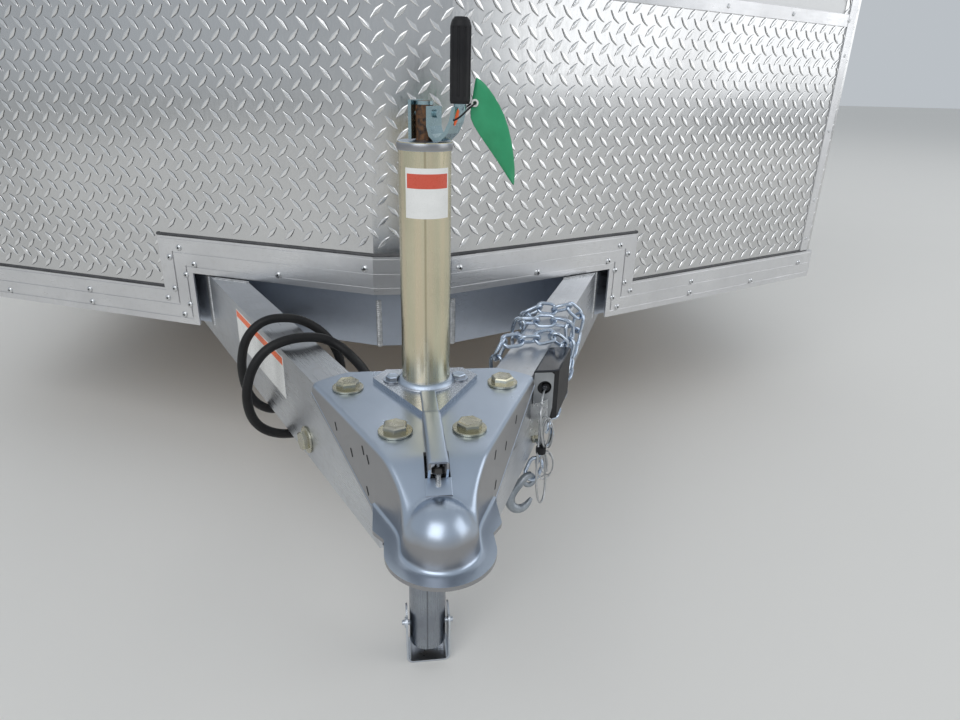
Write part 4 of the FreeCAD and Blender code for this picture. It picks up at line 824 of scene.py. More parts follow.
def makeCoupler(look):
    rows = []
    side = couplerRow(look, look["ballY"])
    front = frontPoints(look, len(side))
    for k in range(look["fan"]):
        turn = pi / 2 * k / look["fan"]
        share = eased(k / look["fan"], 0.45, 1.0)
        rows.append([(sin(turn) * p.x, look["ballY"] - cos(turn) * p.x, p.y)
                     for p in (a.lerp(b, share) for a, b in zip(front, side))])
    slotFront, slotRear = look["slotY"]
    # Rows stand close where the shape changes fast
    stations = [-228, -225, -222, -219, -216, -213, -210.5, -208, -205, -202, -199, -195, slotFront, -187, -181, -176,
                -171, -166, slotRear, -156, -150, -147, -144, -138, -130, -120, -108, -95, -80, -65, -50, -38,
                -28, -18, -9, 0, 9, 13.5, 17, 24, 31, 38, 45]
    for y in stations:
        rows.append([(p.x, y, p.y) for p in couplerRow(look, y)])
    count = len(rows[0])
    points, faces = [], []
    for mirror in (1, -1):
        start = len(points)
        points += [spot(mirror * x, y, z) for row in rows for x, y, z in row]
        for r in range(len(rows) - 1):
            for k in range(count - 1):
                corners = [rows[r][k], rows[r][k + 1], rows[r + 1][k + 1], rows[r + 1][k]]
                x, y, z = (sum(values) / 4 for values in zip(*corners))
                inSlot = x < look["slotHalf"] and slotFront < y < slotRear
                if inSlot or hypot(x, y) < look["tubeHole"] and z > 400:
                    continue
                a = start + r * count + k
                faces.append((a, a + 1, a + 1 + count, a + count))
    mesh = faced(plainMesh("couplerSheet", points, faces, metals["coatedZinc"]), upward)
    return settle(thickened(addObject("couplerSheet", mesh), look["sheet"], 42), "chassis", "zinc_steel", "coupler")


# Raised tab between the latch's slot and the dome
def makeTab(look):
    half, rise, front = look["tab"]
    rings = []
    for y in (front, look["slotY"][0]):
        top = look["plateTop"] - look["fall"] * softest(look["bendY"] - y, 0.0, 5.0)
        rings.append([spot(x, y, top + z) for x, z in ((-half, -1.0), (-half, rise - 0.5), (-half + 0.6, rise),
                                                       (half - 0.6, rise), (half, rise - 0.5), (half, -1.0))])
    shaped("couplerTab", loft(rings), metals["coatedZinc"], 30, "chassis", "zinc_steel")


coupling = makeCoupler(coupler)
makeTab(coupler)

# Latch: strap folded down at its sides, as (y, top, half width, foot), the screw under its open front with its nut,
# the clamp round the ball's back and the arm that joins them; nut, clamp and arm are near black, painted shade for
# the hollow seen through the coupler's slot
latch = {"sheet": 2.4, "fold": 3.2,
         "rows": ((-37, 433.5, 9.0, 430.7), (-88, 433.5, 9.0, 430.7), (-92.5, 434.6, 9.0, 430.7),
                  (-96.5, 437.0, 9.2, 427.0), (-100, 438.2, 10.0, 424.8), (-104, 438.5, 10.0, 424.8),
                  (-130, 438.5, 10.0, 424.8), (-160, 438.5, 10.0, 424.8), (-164, 438.5, 10.0, 410.0),
                  (-186, 438.5, 10.0, 409.0), (-191, 438.4, 10.0, 412.0), (-196, 438.3, 10.0, 419.0),
                  (-200, 438.1, 10.0, 425.0), (-203.4, 437.4, 9.8, 429.0)),
         "pin": (-190.0, 430.0), "screwEnd": (-198.5, 403.0), "screw": 3.4, "thread": 1.1, "nut": (6.4, 5.0, 11.5),
         "clampRadius": (26.6, 30.0), "clampZ": (362.0, 391.0), "clampTurn": 41.0, "ballY": -228.0,
         "arm": (11.5, -200.0, -157.0, 396.0)}


def latchRow(look, y, top, half, foot):
    fold = min(look["fold"], (top - foot) * 0.6)
    side = [(half, foot), (half, between(foot, top - fold, 0.5)), (half, top - fold)]
    for k in range(1, 5):
        turn = pi / 2 * k / 4
        side.append((half - fold + fold * cos(turn), top - fold + fold * sin(turn)))
    return [spot(x, y, z) for x, z in side] + [spot(-x, y, z) for x, z in side[::-1]]


def makeLatch(look):
    form = loft([latchRow(look, *row) for row in look["rows"]], closedEnds=False, ringClosed=False)
    mesh = faced(plainMesh("latchStrap", *form, metals["coatedZinc"]), upward)
    settle(thickened(addObject("latchStrap", mesh), look["sheet"], 35), "chassis", "zinc_steel", "coupler_latch")
    start, end = spot(0, *look["pin"]), spot(0, *look["screwEnd"])
    line = (end - start).normalized()
    length = (end - start).length * 1000
    screw, half = look["screw"], look["thread"] / 2
    profile = [(screw - (0.45 if k % 2 else 0.0), k * half) for k in range(2 * int(length / look["thread"]))]
    shaped("latchScrew", loft(turnedAt(profile, 12, start, line)), metals["rivetSteel"], 50, "chassis", "zinc_steel")
    radius, near, far = look["nut"]
    nut = turnedAt([(radius - 1, near), (radius, near + 1), (radius, far - 1), (radius - 1, far)], 6, start, line)
    low, high = look["clampRadius"]
    z0, z1 = look["clampZ"]
    band = []
    for k in range(9):
        angle = radians(look["clampTurn"] * (k / 4 - 1))
        band.append([spot(r * sin(angle), look["ballY"] + r * cos(angle), z)
                     for r, z in ((low, z0), (high, z0), (high, z1), (low, z1))])
    # The arm is a dark plate right under the coupler's slot: painted shade for the hollow below it
    half, front, rear, z = look["arm"]
    arm = [[spot(x, y, level) for x, y in ((-half, front), (half, front), (half, rear), (-half, rear))]
           for level in (z - 4, z)]
    clamp = joined(loft(rings) for rings in (nut, band, arm))
    shaped("ballClamp", clamp, dulls["axlePaint"], 35, "chassis", "zinc_steel")


makeLatch(latch)
print("coupler pressed")


# Where a line meets a node's surface: the point, and the way the surface faces
def landing(node, start, aim):
    hit, place, facing, _ = nodes[node].ray_cast(start, aim)
    if not hit:
        raise ValueError("no surface of " + node + " at " + str(start))
    return place, facing


def noseLanding(node, across, z):
    return landing(node, noseSpot(across, z, 60.0), -noseFacing(across))


# Hex bolts with flat washers, as (x, y, turn of the head), and one on each beam's side, as (y, height)
bolts = {"flats": 24.0, "head": 7.6, "washer": 37.0, "washerThick": 3.0,
         "onPlate": ((-93.4, -3.8, 12), (93.4, -3.8, 40), (-39.2, -117.7, 25), (39.2, -117.7, 8)),
         "onJackPlate": ((-40.0, 3.0, 5), (40.0, 3.0, 33)), "beamSide": (63.0, 322.0)}


def makeBolts(look):
    corner = look["flats"] / sqrt(3)
    low, top = look["washerThick"], look["washerThick"] + look["head"]
    head = turnedRings([(corner, low), (corner, top - 2.0), (corner * 0.90, top - 0.4), (corner * 0.82, top),
                        (corner * 0.55, top - 0.5), (corner * 0.5, top - 0.5)], 6)
    wide = look["washer"] / 2
    washer = turnedRings([(wide - 0.6, 0.0), (wide, 0.5), (wide, low - 0.6), (wide - 0.8, low), (corner, low)], 28)
    bolt = prototype("bolt", *joined((loft(head), loft(washer))), 30)

    def turned(turn):
        return Vector((cos(radians(turn)), sin(radians(turn)), 0))

    places = [(spot(x, y, coupler["plateTop"]), upward, turned(turn)) for x, y, turn in look["onPlate"]]
    y, z = look["beamSide"]
    for side, node in ((1, "tongue_beam_left"), (-1, "tongue_beam_right")):
        away = beamAway(side)
        place = landing(node, spot(side * (y * tan(beamTurn) + 300), y - 84, z), -away)[0]
        places.append((place, away, upward))
    placeCopies("plateBolts", places, bolt, metals["yellowZinc"], "chassis", "zinc_steel", smooth=30)
    places = [(landing("jack_tube", spot(x, y, 470), -upward)[0], upward, turned(turn))
              for x, y, turn in look["onJackPlate"]]
    placeCopies("jackBolts", places, bolt, metals["coatedZinc"], "chassis", "zinc_steel", 0.62, smooth=30)
    forget(bolt)


makeBolts(bolts)

# Flat strips over the guard's top edge and down its two outer edges
strips = {"thick": 2.2, "topFoot": 904.0, "topHead": 930.0, "reach": 1134.0, "cornerIn": 1107.0, "cornerHead": 2352.0,
          "foot": 388.0, "seat": -8.0}

# Domed rivets with a drilled middle, shown as a dark disc of painted shade, as (distance across the nose, height), in
# two rows along the sides' trims but not at the wheels; screws on the guard's strips, whose faces stand out from the
# nose by stripFace
rivets = {
    "radius": 6.3, "rise": 3.0,
    "onTrim": ((464, 468), (488, 448), (435, 439), (456, 417), (487, 387), (506, 366.5), (456.5, 358.7),
               (472.5, 336.5), (255, 438), (83, 467), (697, 336), (914, 336), (697, 362), (1100, 360)),
    "guardTop": (-1110, -902, -692, -482, -272, 272, 482, 692, 902, 1110), "guardTopZ": 917.0,
    "cornerAcross": 1121.0, "cornerZ": (418, 516, 680, 845, 1010, 1180, 1350, 1520, 1690, 1860, 2030, 2200, 2330),
    "stripFace": 2.2, "stagger": 40.0, "sideStep": 305.0, "sideZ": (337.0, 361.0), "sideY": (905.0, 5110.0),
    "skipY": (2420.0, 4240.0),
}


def makeRivets(look):
    wide, rise = look["radius"], look["rise"]
    dome = [(wide, -0.4), (wide, 0.25), (wide * 0.93, rise * 0.45), (wide * 0.72, rise * 0.82),
            (wide * 0.34, rise), (wide * 0.30, rise * 0.72)]
    rivet = turnedPrototype("rivet", dome, 14, 40)
    # The drilled middle is a dark disc: painted shade in the rivet's hole
    middle = turnedPrototype("rivetMiddle", [(wide * 0.30, rise * 0.5), (wide * 0.30, rise * 0.76)], 8)
    screw = turnedPrototype("screw", [(4.6, -0.3), (4.6, 0.4), (3.9, 1.5), (2.2, 2.1), (1.6, 1.4)], 10, 40)
    onTrim = [noseLanding("nose_trim", side * across, z) for across, z in look["onTrim"] for side in (1, -1)]
    first, last = look["sideY"]
    for k in range(int((last - first) / look["sideStep"]) + 1):
        y = first + k * look["sideStep"]
        if look["skipY"][0] < y < look["skipY"][1]:
            continue
        for side, node in ((1, "side_trim_left"), (-1, "side_trim_right")):
            for z, shift in zip(look["sideZ"], (0.0, look["stagger"])):
                onTrim.append(landing(node, spot(side * 1200, y + shift, z), Vector((-side, 0, 0))))
    placeCopies("trimRivets", onTrim, rivet, metals["rivetSteel"], "chassis", "trim_aluminium", smooth=40)
    placeCopies("trimRivetMiddles", onTrim, middle, dulls["darkHollow"], "chassis", "trim_aluminium")
    screws = []
    for across in look["guardTop"]:
        place, facing = noseLanding("nose_guard", across, look["guardTopZ"] - 20)
        screws.append((place + upward * 0.020 + facing * look["stripFace"] / 1000, facing))
    for z in look["cornerZ"]:
        for across in (look["cornerAcross"], -look["cornerAcross"]):
            screws.append((noseSpot(across, z, strips["seat"] + look["stripFace"]), noseFacing(across)))
    placeCopies("guardScrews", screws, screw, metals["rivetSteel"], "chassis", "trim_aluminium", smooth=40)
    forget(rivet, middle, screw)


makeRivets(rivets)
print("bolts and rivets set")


def makeStrips(look):
    seat, proud = look["seat"], look["seat"] + look["thick"]
    stations = [-look["reach"], -nose["halfFlat"], nose["halfFlat"], look["reach"]]
    profile = ((seat - 0.4, look["topFoot"]), (proud - 0.7, look["topFoot"]), (proud, look["topFoot"] + 0.9),
               (proud, look["topHead"] - 0.9), (proud - 0.7, look["topHead"]), (seat - 0.4, look["topHead"]))
    forms = [loft([[noseSpot(across, z, out) for out, z in profile] for across in stations])]
    inner, outer = look["cornerIn"], look["reach"]
    cross = ((inner, seat - 0.4), (inner, proud + 0.2), (inner + 1, proud + 0.8), (outer - 1, proud + 0.8),
             (outer, proud + 0.2), (outer, seat - 0.4))
    for side in (1, -1):
        forms.append(loft([[noseSpot(side * across, z, out) for across, out in cross]
                           for z in (look["foot"], look["cornerHead"])]))
    shaped("guardStrips", joined(forms), metals["trimAluminium"], 30, "chassis", "trim_aluminium")


makeStrips(strips)

# Dark sealant along the lower trim's top edge, stepped up over the beams
trimSeal = {"wide": 4.6, "rise": 3.4, "seat": -8.0, "step": 511.0, "raisedZ": 488.1, "lowerZ": 386.2,
            "reach": 1134.0}


def makeTrimSeal(look):
    seat, top, wide, step = look["seat"], look["seat"] + look["rise"], look["wide"], look["step"]
    bead = ((-0.3, seat - 0.3), (-0.3, top - 0.9), (0.3 * wide, top), (0.75 * wide, top - 0.8), (wide, seat + 0.5),
            (wide, seat - 0.3))
    flat = nose["halfFlat"]
    runs = [[[noseSpot(across, look["raisedZ"] + up, out) for up, out in bead]
             for across in (-step - wide, -flat, flat, step + wide)]]
    for side in (1, -1):
        runs.append([[noseSpot(side * across, look["lowerZ"] + up, out) for up, out in bead]
                     for across in (step, look["reach"])])
        runs.append([[noseSpot(side * (step + up), z, out) for up, out in bead]
                     for z in (look["lowerZ"], look["raisedZ"] + wide)])
    shaped("trimSeal", joined(map(loft, runs)), dulls["sealant"], 40, "chassis", "trim_aluminium")


makeTrimSeal(trimSeal)

# Weld beads: overlapping ripples along lines on the nodes' surfaces. On the nose member they are upright, as (x, foot,
# head); on each beam's outer face too, as (y, foot, head); over its top and on the skirt's edge, as (y, height) ends
welds = {"ripple": (5.8, 3.4, 2.1), "step": 3.9, "onNose": ((-60.0, 319.0, 402.0), (73.0, 319.0, 402.0)),
         "onBeam": ((546.0, 322.0, 414.0), (538.0, 321.0, 415.0)), "overBeam": ((505.0, 110.0), (478.0, 66.0)),
         "overZ": 420.0, "skirt": ((-118.0, 352.0), (8.0, 404.5)), "skirtShares": ((0.0, 0.22), (0.72, 0.95)),
         "jackRing": (31.2, 433.0, 120)}


def rippleLine(places, start, end, facing, step):
    count = max(2, int((end - start).length * 1000 / step))
    along = (end - start).normalized()
    places += [(start.lerp(end, k / count), facing, along) for k in range(count + 1)]


def makeWelds(look):
    wide, half, rise = look["ripple"]
    rings = []
    for share, height in ((1.0, -0.6), (0.95, 0.25), (0.7, 0.75), (0.3, 1.0)):
        rings.append([Vector((half * share * cos(turn) + 0.8 * (1 - share), wide * share * sin(turn),
                              rise * height)) / 1000 for turn in turns(10)])
    ripple = prototype("ripple", *loft(rings), 60)
    places, step, back = [], look["step"], Vector((0, 1, 0))
    for x, foot, head in look["onNose"]:
        low, facing = landing("nose_member", spot(x, 200, foot), back)
        rippleLine(places, low, landing("nose_member", spot(x, 200, head), back)[0], facing, step)
    (outerY, outer), (innerY, inner) = look["overBeam"]
    for side, node in ((1, "tongue_beam_left"), (-1, "tongue_beam_right")):
        away = beamAway(side)
        for y, foot, head in look["onBeam"]:
            low, high = (landing(node, beamSpot(side, y, z) + away * 0.05, -away)[0] for z in (foot, head))
            rippleLine(places, low, high, away, step)
        start = spot(side * (outerY * tan(beamTurn) + outer / cos(beamTurn)), outerY + 4.5, look["overZ"])
        end = spot(side * (innerY * tan(beamTurn) + inner / cos(beamTurn)), innerY + 2.0, look["overZ"])
        rippleLine(places, start, end, upward, step)
        low, far = (beamSpot(side, y, z) for y, z in look["skirt"])
        for first, last in look["skirtShares"]:
            rippleLine(places, low.lerp(far, first), low.lerp(far, last), away, step)
    placeCopies("weldBeads", places, ripple, metals["weldBead"], "chassis", "mill_aluminium", smooth=60)
    radius, z, count = look["jackRing"]
    ring = [(spot(radius * cos(turn), radius * sin(turn), z), Vector((cos(turn), sin(turn), 0.8)).normalized(),
             Vector((-sin(turn), cos(turn), 0))) for turn in turns(count)]
    placeCopies("jackWeld", ring, ripple, metals["coatedZinc"], "chassis", "jack_steel", 1.0, smooth=60)
    forget(ripple)


makeWelds(welds)

# Short slots pressed in the coupler's skirts, as (y, height), each a thin near-black patch of painted shade
skirtSlots = {"length": 10.5, "width": 3.0, "lean": 62.0,
              -1: ((-54, 401), (-94, 389), (-122, 407), (-133, 402), (-131, 363)),
              1: ((-65, 406), (-104, 394.5), (-142, 406), (-140, 368))}


def makeSlots(look):
    bend, straight = look["width"] / 2, (look["length"] - look["width"]) / 2
    ring = [(cos(turn) * bend + (straight if cos(turn) > 0 else -straight), sin(turn) * bend) for turn in turns(12)]
    # Each slot is a thin dark patch on the skirt: painted shade where its hollow would be
    slot = prototype("slot", *loft([[Vector((a, b, h)) / 1000 for a, b in ring] for h in (-0.6, 0.25)]))
    places = []
    lean, out = radians(look["lean"]), coupler["edgeOffset"] - beamFace
    for side in (1, -1):
        away = beamAway(side)
        along = Vector((side * sin(beamTurn), cos(beamTurn), 0)) * cos(lean) + upward * sin(lean)
        for y, z in look[side]:
            hit, place, facing, _ = coupling.ray_cast(beamSpot(side, y, z, out) + away * 0.06, -away)
            if hit:
                places.append((place, facing, along))
    placeCopies("skirtSlots", places, slot, dulls["darkHollow"], "chassis", "zinc_steel")
    forget(slot)


makeSlots(skirtSlots)
print("strips, welds and slots set")

# Safety chain: round-wire links laid end to end along the route, each turned a quarter from the one before. Its route
# is (y, distance from the axis, height) along the left beam, and the hook's line is (across, along, radius)
safetyChain = {
    "wire": 5.6, "length": 37.0, "width": 24.0, "pitch": 25.1, "core": (88.0, 357.5), "eye": (7.7, 3.4),
    "route": ((108, 49, 336), (110, 49, 398), (112, 46.5, 420), (115, 51, 431.5), (119, 63, 436), (125, 88, 430.6),
              (132, 113, 436), (136, 125, 431.5), (138, 129.5, 420), (139, 128, 398), (141, 126, 380), (150, 126, 367),
              (164, 126, 362), (178, 126, 367), (187, 126, 380), (190, 128, 398), (191, 129.5, 420),
              (193, 125, 431.5), (196, 113, 436), (200, 88, 430.6), (204, 63, 436), (206, 51, 431.5),
              (207, 46.5, 420), (208, 49, 398), (211, 50, 382), (220, 50, 370), (233, 50, 366), (246, 50, 370),
              (254, 50, 382), (256, 49, 398), (257, 46.5, 420), (258, 51, 431.5), (259, 63, 436), (260, 88, 430.6),
              (261, 113, 436), (262, 125, 431.5), (262, 129.5, 420), (260, 127, 398), (248, 126, 374),
              (222, 126, 353), (180, 126, 337), (140, 126, 329), (96, 126, 322), (66, 126, 311), (46, 126, 292),
              (36, 119, 272), (33, 112, 248)),
    "hookLine": ((0.0, -7.6, 5.0), (0.0, -7.6, 5.0), (7.2, -3.0, 5.0), (8.6, 7.0, 5.6), (12.0, 16.0, 6.4),
                 (15.2, 27.0, 6.8), (13.0, 38.5, 7.0), (3.0, 45.0, 6.8), (-8.0, 42.0, 6.0), (-13.8, 33.0, 4.8),
                 (-14.6, 26.0, 3.6), (-15.4, 22.0, 2.4)),
}


def linkPrototype(look):
    wire = look["wire"] / 2
    bend = look["width"] / 2 - wire
    straight = look["length"] / 2 - wire - bend
    rings = []
    for side in (1, -1):
        for k in range(9):
            turn = -pi / 2 + pi * k / 8
            middle = Vector((side * (straight + bend * cos(turn)), side * bend * sin(turn), 0))
            out = Vector((side * cos(turn), side * sin(turn), 0))
            rings.append([(middle + out * wire * cos(a) + upward * wire * sin(a)) / 1000 for a in turns(8)])
    return prototype("link", *loft(rings + rings[:1], closedEnds=False), 60)


# Points along a line at one distance from each other, found by halving
def evenSteps(points, step):
    spots = [points[0]]
    k = 0
    while k < len(points) - 1:
        start, end = points[k], points[k + 1]
        if (end - spots[-1]).length < step:
            k += 1
            continue
        low, high = 0.0, 1.0
        for _ in range(30):
            share = (low + high) / 2
            if (start.lerp(end, share) - spots[-1]).length < step:
                low = share
            else:
                high = share
        spots.append(start.lerp(end, high))
    return spots


def makeSafetyChain(look):
    spots = evenSteps([leftBeamSpot(*row) for row in look["route"]], look["pitch"] / 1000)
    places = []
    for k in range(len(spots) - 1):
        centre = (spots[k] + spots[k + 1]) / 2
        along = (spots[k + 1] - spots[k]).normalized()
        y = (centre.y - jackY) * 1000
        out = centre - leftBeamSpot(y, *look["core"])
        out = (out - along * out.dot(along)).normalized()
        side = along.cross(out)
        across = (out + side if k % 2 else out - side).normalized()
        places.append((centre, along.cross(across), along))
    link = linkPrototype(look)
    placeCopies("safetyChain", places, link, metals["chainZinc"], "chassis", "zinc_steel", smooth=60,
                replaced=("safety_chain",))
    forget(link)
    eye = centre + along * ((look["length"] - look["wire"]) / 2 + 1.0) / 1000
    over = along.cross(Vector((0, -1, 0))).normalized()
    line = [eye + (over * a + along * b) / 1000 for a, b, _ in look["hookLine"]]
    hook = splineObject("hookLine", line, 1.0, metals["hookSteel"], 4, 4)
    for held, row in zip(hook.data.splines[0].points, look["hookLine"]):
        held.radius = row[2]
    settle(fixed("slipHook", hook, 60), "chassis", "zinc_steel")
    radius, wire = look["eye"]
    ring = [eye + (over * radius * sin(turn) + along * radius * cos(turn)) / 1000 for turn in turns(12)]
    eyeRing = splineObject("hookEye", ring, wire, metals["hookSteel"], 3, 4, cyclic=True)
    settle(fixed("hookEye", eyeRing, 60), "chassis", "zinc_steel")


makeSafetyChain(safetyChain)

# Pull wire from the breakaway switch's pin, gathered by a band. Its small loops are (x, y, height, half width, half
# height, turn)
pullWire = {"radius": 1.5, "length": 0.48, "loopRadius": 0.9,
            "route": ((35.6, 128, 398), (16, 129, 397), (4, 131, 382), (1, 133, 356), (3, 135, 326), (14, 138, 296),
                      (17, 140, 266), (7, 141, 246), (-10, 139.5, 248), (-16, 136, 270), (-10, 133, 298),
                      (-1, 131.6, 326), (10, 130, 350), (12, 130, 378), (6, 131, 389), (-7, 132.5, 389),
                      (-13, 134, 378), (-13, 136.5, 356), (0, 138.4, 326), (17, 139, 302), (27, 139, 276)),
            "band": (1.0, 134.5, 325.0),
            "loops": ((153, 5, 350, 7.5, 24, 25), (156, 2, 349, 9.0, 23, -15), (158, 4, 347, 8.0, 22, 50),
                      (152, 3, 302, 8.0, 20, 20), (156, 1, 300, 12.0, 21, -10), (159, 4, 303, 10.0, 19, 40))}


def makePullWire(look):
    points = [leftBeamSpot(*row) for row in look["route"]]
    wire = splineObject("pullWire", points, look["radius"], metals["steelWire"], 3, 3)
    settle(wire, "chassis", "zinc_steel", "breakaway_cable")
    band = turnedPiece("wireBand", [(5.2, -5.0), (6.4, -4.4), (6.8, 0.0), (6.4, 4.4), (5.2, 5.0)], 16,
                       dulls["blackPlastic"], "black_plastic", 40, leftBeamSpot(*look["band"]))
    gathered = []
    for x, y, z, wide, high, turn in look["loops"]:
        ring = []
        for angle in turns(10):
            a = wide * cos(angle)
            ring.append(spot(x + a * cos(radians(turn)), y - a * sin(radians(turn)), z + high * sin(angle)))
        loop = splineObject("wireLoop", ring, look["loopRadius"], metals["steelWire"], 4, 2, cyclic=True)
        gathered.append(settle(fixed("wireLoop" + str(len(gathered) + 1), loop, 60), "chassis", "zinc_steel"))


makePullWire(pullWire)
print("chain, hook and pull wire laid")

# Front plate of the switch, with a round mouth, its glossy lid and pin, and a film tag hung ahead of it, given as
# (x, y) across and its heights
switchFace = {"y": (35.0, 118.0), "z": (352.0, 421.0), "out": (113.4, 143.4), "mouth": 9.2, "mouthZ": 399.0,
              "mouthOut": 127.0, "pin": ((2.4, 0.0), (3.6, 0.4), (3.6, 3.0), (2.8, 3.8)), "sheet": 0.5,
              "film": (((135.5, 17.0), (148.0, 20.0), (161.0, 29.0)), (384.0, 370.0, 354.0, 336.0))}


def makeSwitch(look):
    y0, y1 = look["y"]
    near, far = look["out"]
    foot, top = look["z"]
    ahead, side = Vector((0, -1, 0)), Vector((1, 0, 0))
    middle = leftBeamSpot(y0, look["mouthOut"], look["mouthZ"])
    left, right = (look["mouthOut"] - near) / cos(beamTurn) - 0.8, (far - 5 - look["mouthOut"]) / cos(beamTurn) - 0.4
    low, high = foot + 1.0 - look["mouthZ"], top - 1.0 - look["mouthZ"]
    outer, inner = [], []
    for turn in turns(32):
        a, b = cos(turn), sin(turn)
        reach = min((right if a > 0 else left) / max(abs(a), 1e-6), (high if b > 0 else -low) / max(abs(b), 1e-6))
        outer.append((a * reach, b * reach))
        inner.append((a * (look["mouth"] + 0.3), b * (look["mouth"] + 0.3)))
    plate = [[middle + (side * a + Vector((0, 0, b)) + ahead * out) / 1000 for a, b in loop]
             for loop, out in ((outer, 0.05), (outer, 1.0), (inner, 1.4), (inner, -0.6))]
    shaped("switchPlate", loft(plate, closedEnds=False), dulls["greyPlastic"], 30, "chassis", "black_plastic")
    lid = []
    for inset, z in ((0.2, top), (0.2, top + 0.7), (1.6, top + 1.6)):
        front, rear, inside, outside = y0 + inset, y1 - inset, near + 1 + inset, far - 5 - inset
        lid.append([leftBeamSpot(y, offset, z) for y, offset in (
            (front, inside), (front, outside), (y0 + 4, far - inset), (y1 - 4, far - inset), (rear, outside),
            (rear, inside))])
    shaped("switchLid", loft(lid), dulls["glossBlack"], 30, "chassis", "black_plastic")
    pin = turnedAt(look["pin"], 12, middle, ahead)
    shaped("switchPin", loft(pin), dulls["glossBlack"], 40, "chassis", "black_plastic")
    # The film curls a little towards its foot
    places, heights = look["film"]
    drops = [heights[0] - z for z in heights]
    rows = [[spot(x + drop * 0.04, y - 2.5 * sin(drop / 12), heights[0] - drop) for x, y in places] for drop in drops]
    mesh = plainMesh("filmTag", *loft(rows, closedEnds=False, ringClosed=False), clearFilm)
    settle(thickened(addObject("filmTag", mesh), look["sheet"], 60), "chassis", "black_plastic")


makeSwitch(switchFace)

# Jack: blank label with its band, bright cap and rusted screw end
jackLook = {"radius": 28.575, "labelTurn": (-48.0, 55.0), "labelZ": (630.3, 682.3), "bandZ": (661.5, 676.5),
            "bandTurn": (-44.0, 51.0), "capZ": 700.0, "capRadius": 29.6, "screwRadius": 9.2, "screwZ": (707.6, 747.0)}


def wrapPatch(name, radius, spread, heights, thick, finish):
    rings = []
    low, high = heights
    for k in range(15):
        turn = radians(between(*spread, k / 14))
        rings.append([spot(r * sin(turn), -r * cos(turn), z) for r, z in (
            (radius, low), (radius + thick, low), (radius + thick, high), (radius, high))])
    shaped(name, loft(rings), finish, 30, "chassis", "jack_steel")


def makeJackDetails(look):
    radius, r, z, screw = look["radius"], look["capRadius"], look["capZ"], look["screwRadius"]
    wrapPatch("jackLabel", radius + 0.05, look["labelTurn"], look["labelZ"], 0.2, dulls["whiteLabel"])
    wrapPatch("jackLabelBand", radius + 0.2, look["bandTurn"], look["bandZ"], 0.12, dulls["redLabel"])
    turnedPiece("jackCap", [(radius, z - 1.2), (r + 0.1, z - 1.0), (r + 0.5, z + 0.2), (r + 0.5, z + 5.6),
                            (r - 0.4, z + 7.3), (r - 2.2, z + 7.9), (r - 4.5, z + 7.7), (14.0, z + 7.6),
                            (11.5, z + 8.4), (10.2, z + 8.6)], 48, metals["coatedZinc"], "jack_steel")
    low, high = look["screwZ"]
    turnedPiece("jackScrewEnd", [(screw + 0.6, low), (screw + 0.3, low + 2), (screw + 0.1, low + 6),
                                 (screw + 0.15, high - 4), (screw - 0.8, high - 0.6), (screw - 2.2, high + 0.2)],
                28, dulls["rustedScrew"], "jack_steel", 40)


makeJackDetails(jackLook)

# Thin strap bent under the leg, its cross pin and the pin's washers, in mm from the jack's axis
footLook = {"half": 29.4, "sheet": 2.6, "corner": 8.0, "top": 76.0, "halfWidth": 22.0, "narrow": 11.0, "taper": 62.0,
            "straightZ": 30.0, "pinZ": 54.0, "pin": 3.6, "pinReach": 36.5, "washer": 7.5, "washerSheet": 1.6}


def makeFoot(look):
    half, sheet, corner = look["half"], look["sheet"] / 2, look["corner"]
    stations = [(half, look["top"] - drop, 1.0, 0.0) for drop in (0.0, 1.0, 2.5, 5.0, 9.0, 14.0)]
    stations.append((half, look["straightZ"], 1.0, 0.0))
    for k in range(9):
        outX, outZ = cos(pi / 2 * k / 8), -sin(pi / 2 * k / 8)
        stations.append((half - corner + corner * outX, sheet + corner + corner * outZ, outX, outZ))
    stations += [(-x, z, -outX, outZ) for x, z, outX, outZ in reversed(stations)]
    rings = []
    for x, z, outX, outZ in stations:
        rise = max(0.0, (z - look["taper"]) / (look["top"] - look["taper"]))
        wide = look["narrow"] + (look["halfWidth"] - look["narrow"]) * sqrt(max(0.0, 1 - rise ** 2))
        rings.append([spot(x + side * sheet * outX, lean * wide, z + side * sheet * outZ)
                      for side, lean in ((1, -1), (1, 1), (-1, 1), (-1, -1))])
    shaped("footStrap", loft(rings), metals["strapZinc"], 30, "jack_leg", "jack_steel", "jack_foot")
    outer, pin, reach = half + sheet, look["pin"], look["pinReach"]
    washer, flat = look["washer"], look["washerSheet"]
    profile = [(pin - 1.0, -reach), (pin, 1.0 - reach), (pin, -outer - flat), (washer - 0.3, -outer - flat),
               (washer, 0.3 - outer - flat), (washer, 0.1 - outer), (pin, 0.1 - outer), (pin, outer - 0.1),
               (washer, outer - 0.1), (washer, outer + flat - 0.3), (washer - 0.3, outer + flat), (pin, outer + flat),
               (pin, reach - 1.0), (pin - 1.0, reach)]
    rings = [[spot(along, radius * cos(turn), look["pinZ"] + radius * sin(turn)) for turn in turns(28)]
             for radius, along in profile]
    shaped("footPin", loft(rings), metals["strapZinc"], 30, "jack_leg", "jack_steel")


makeFoot(footLook)

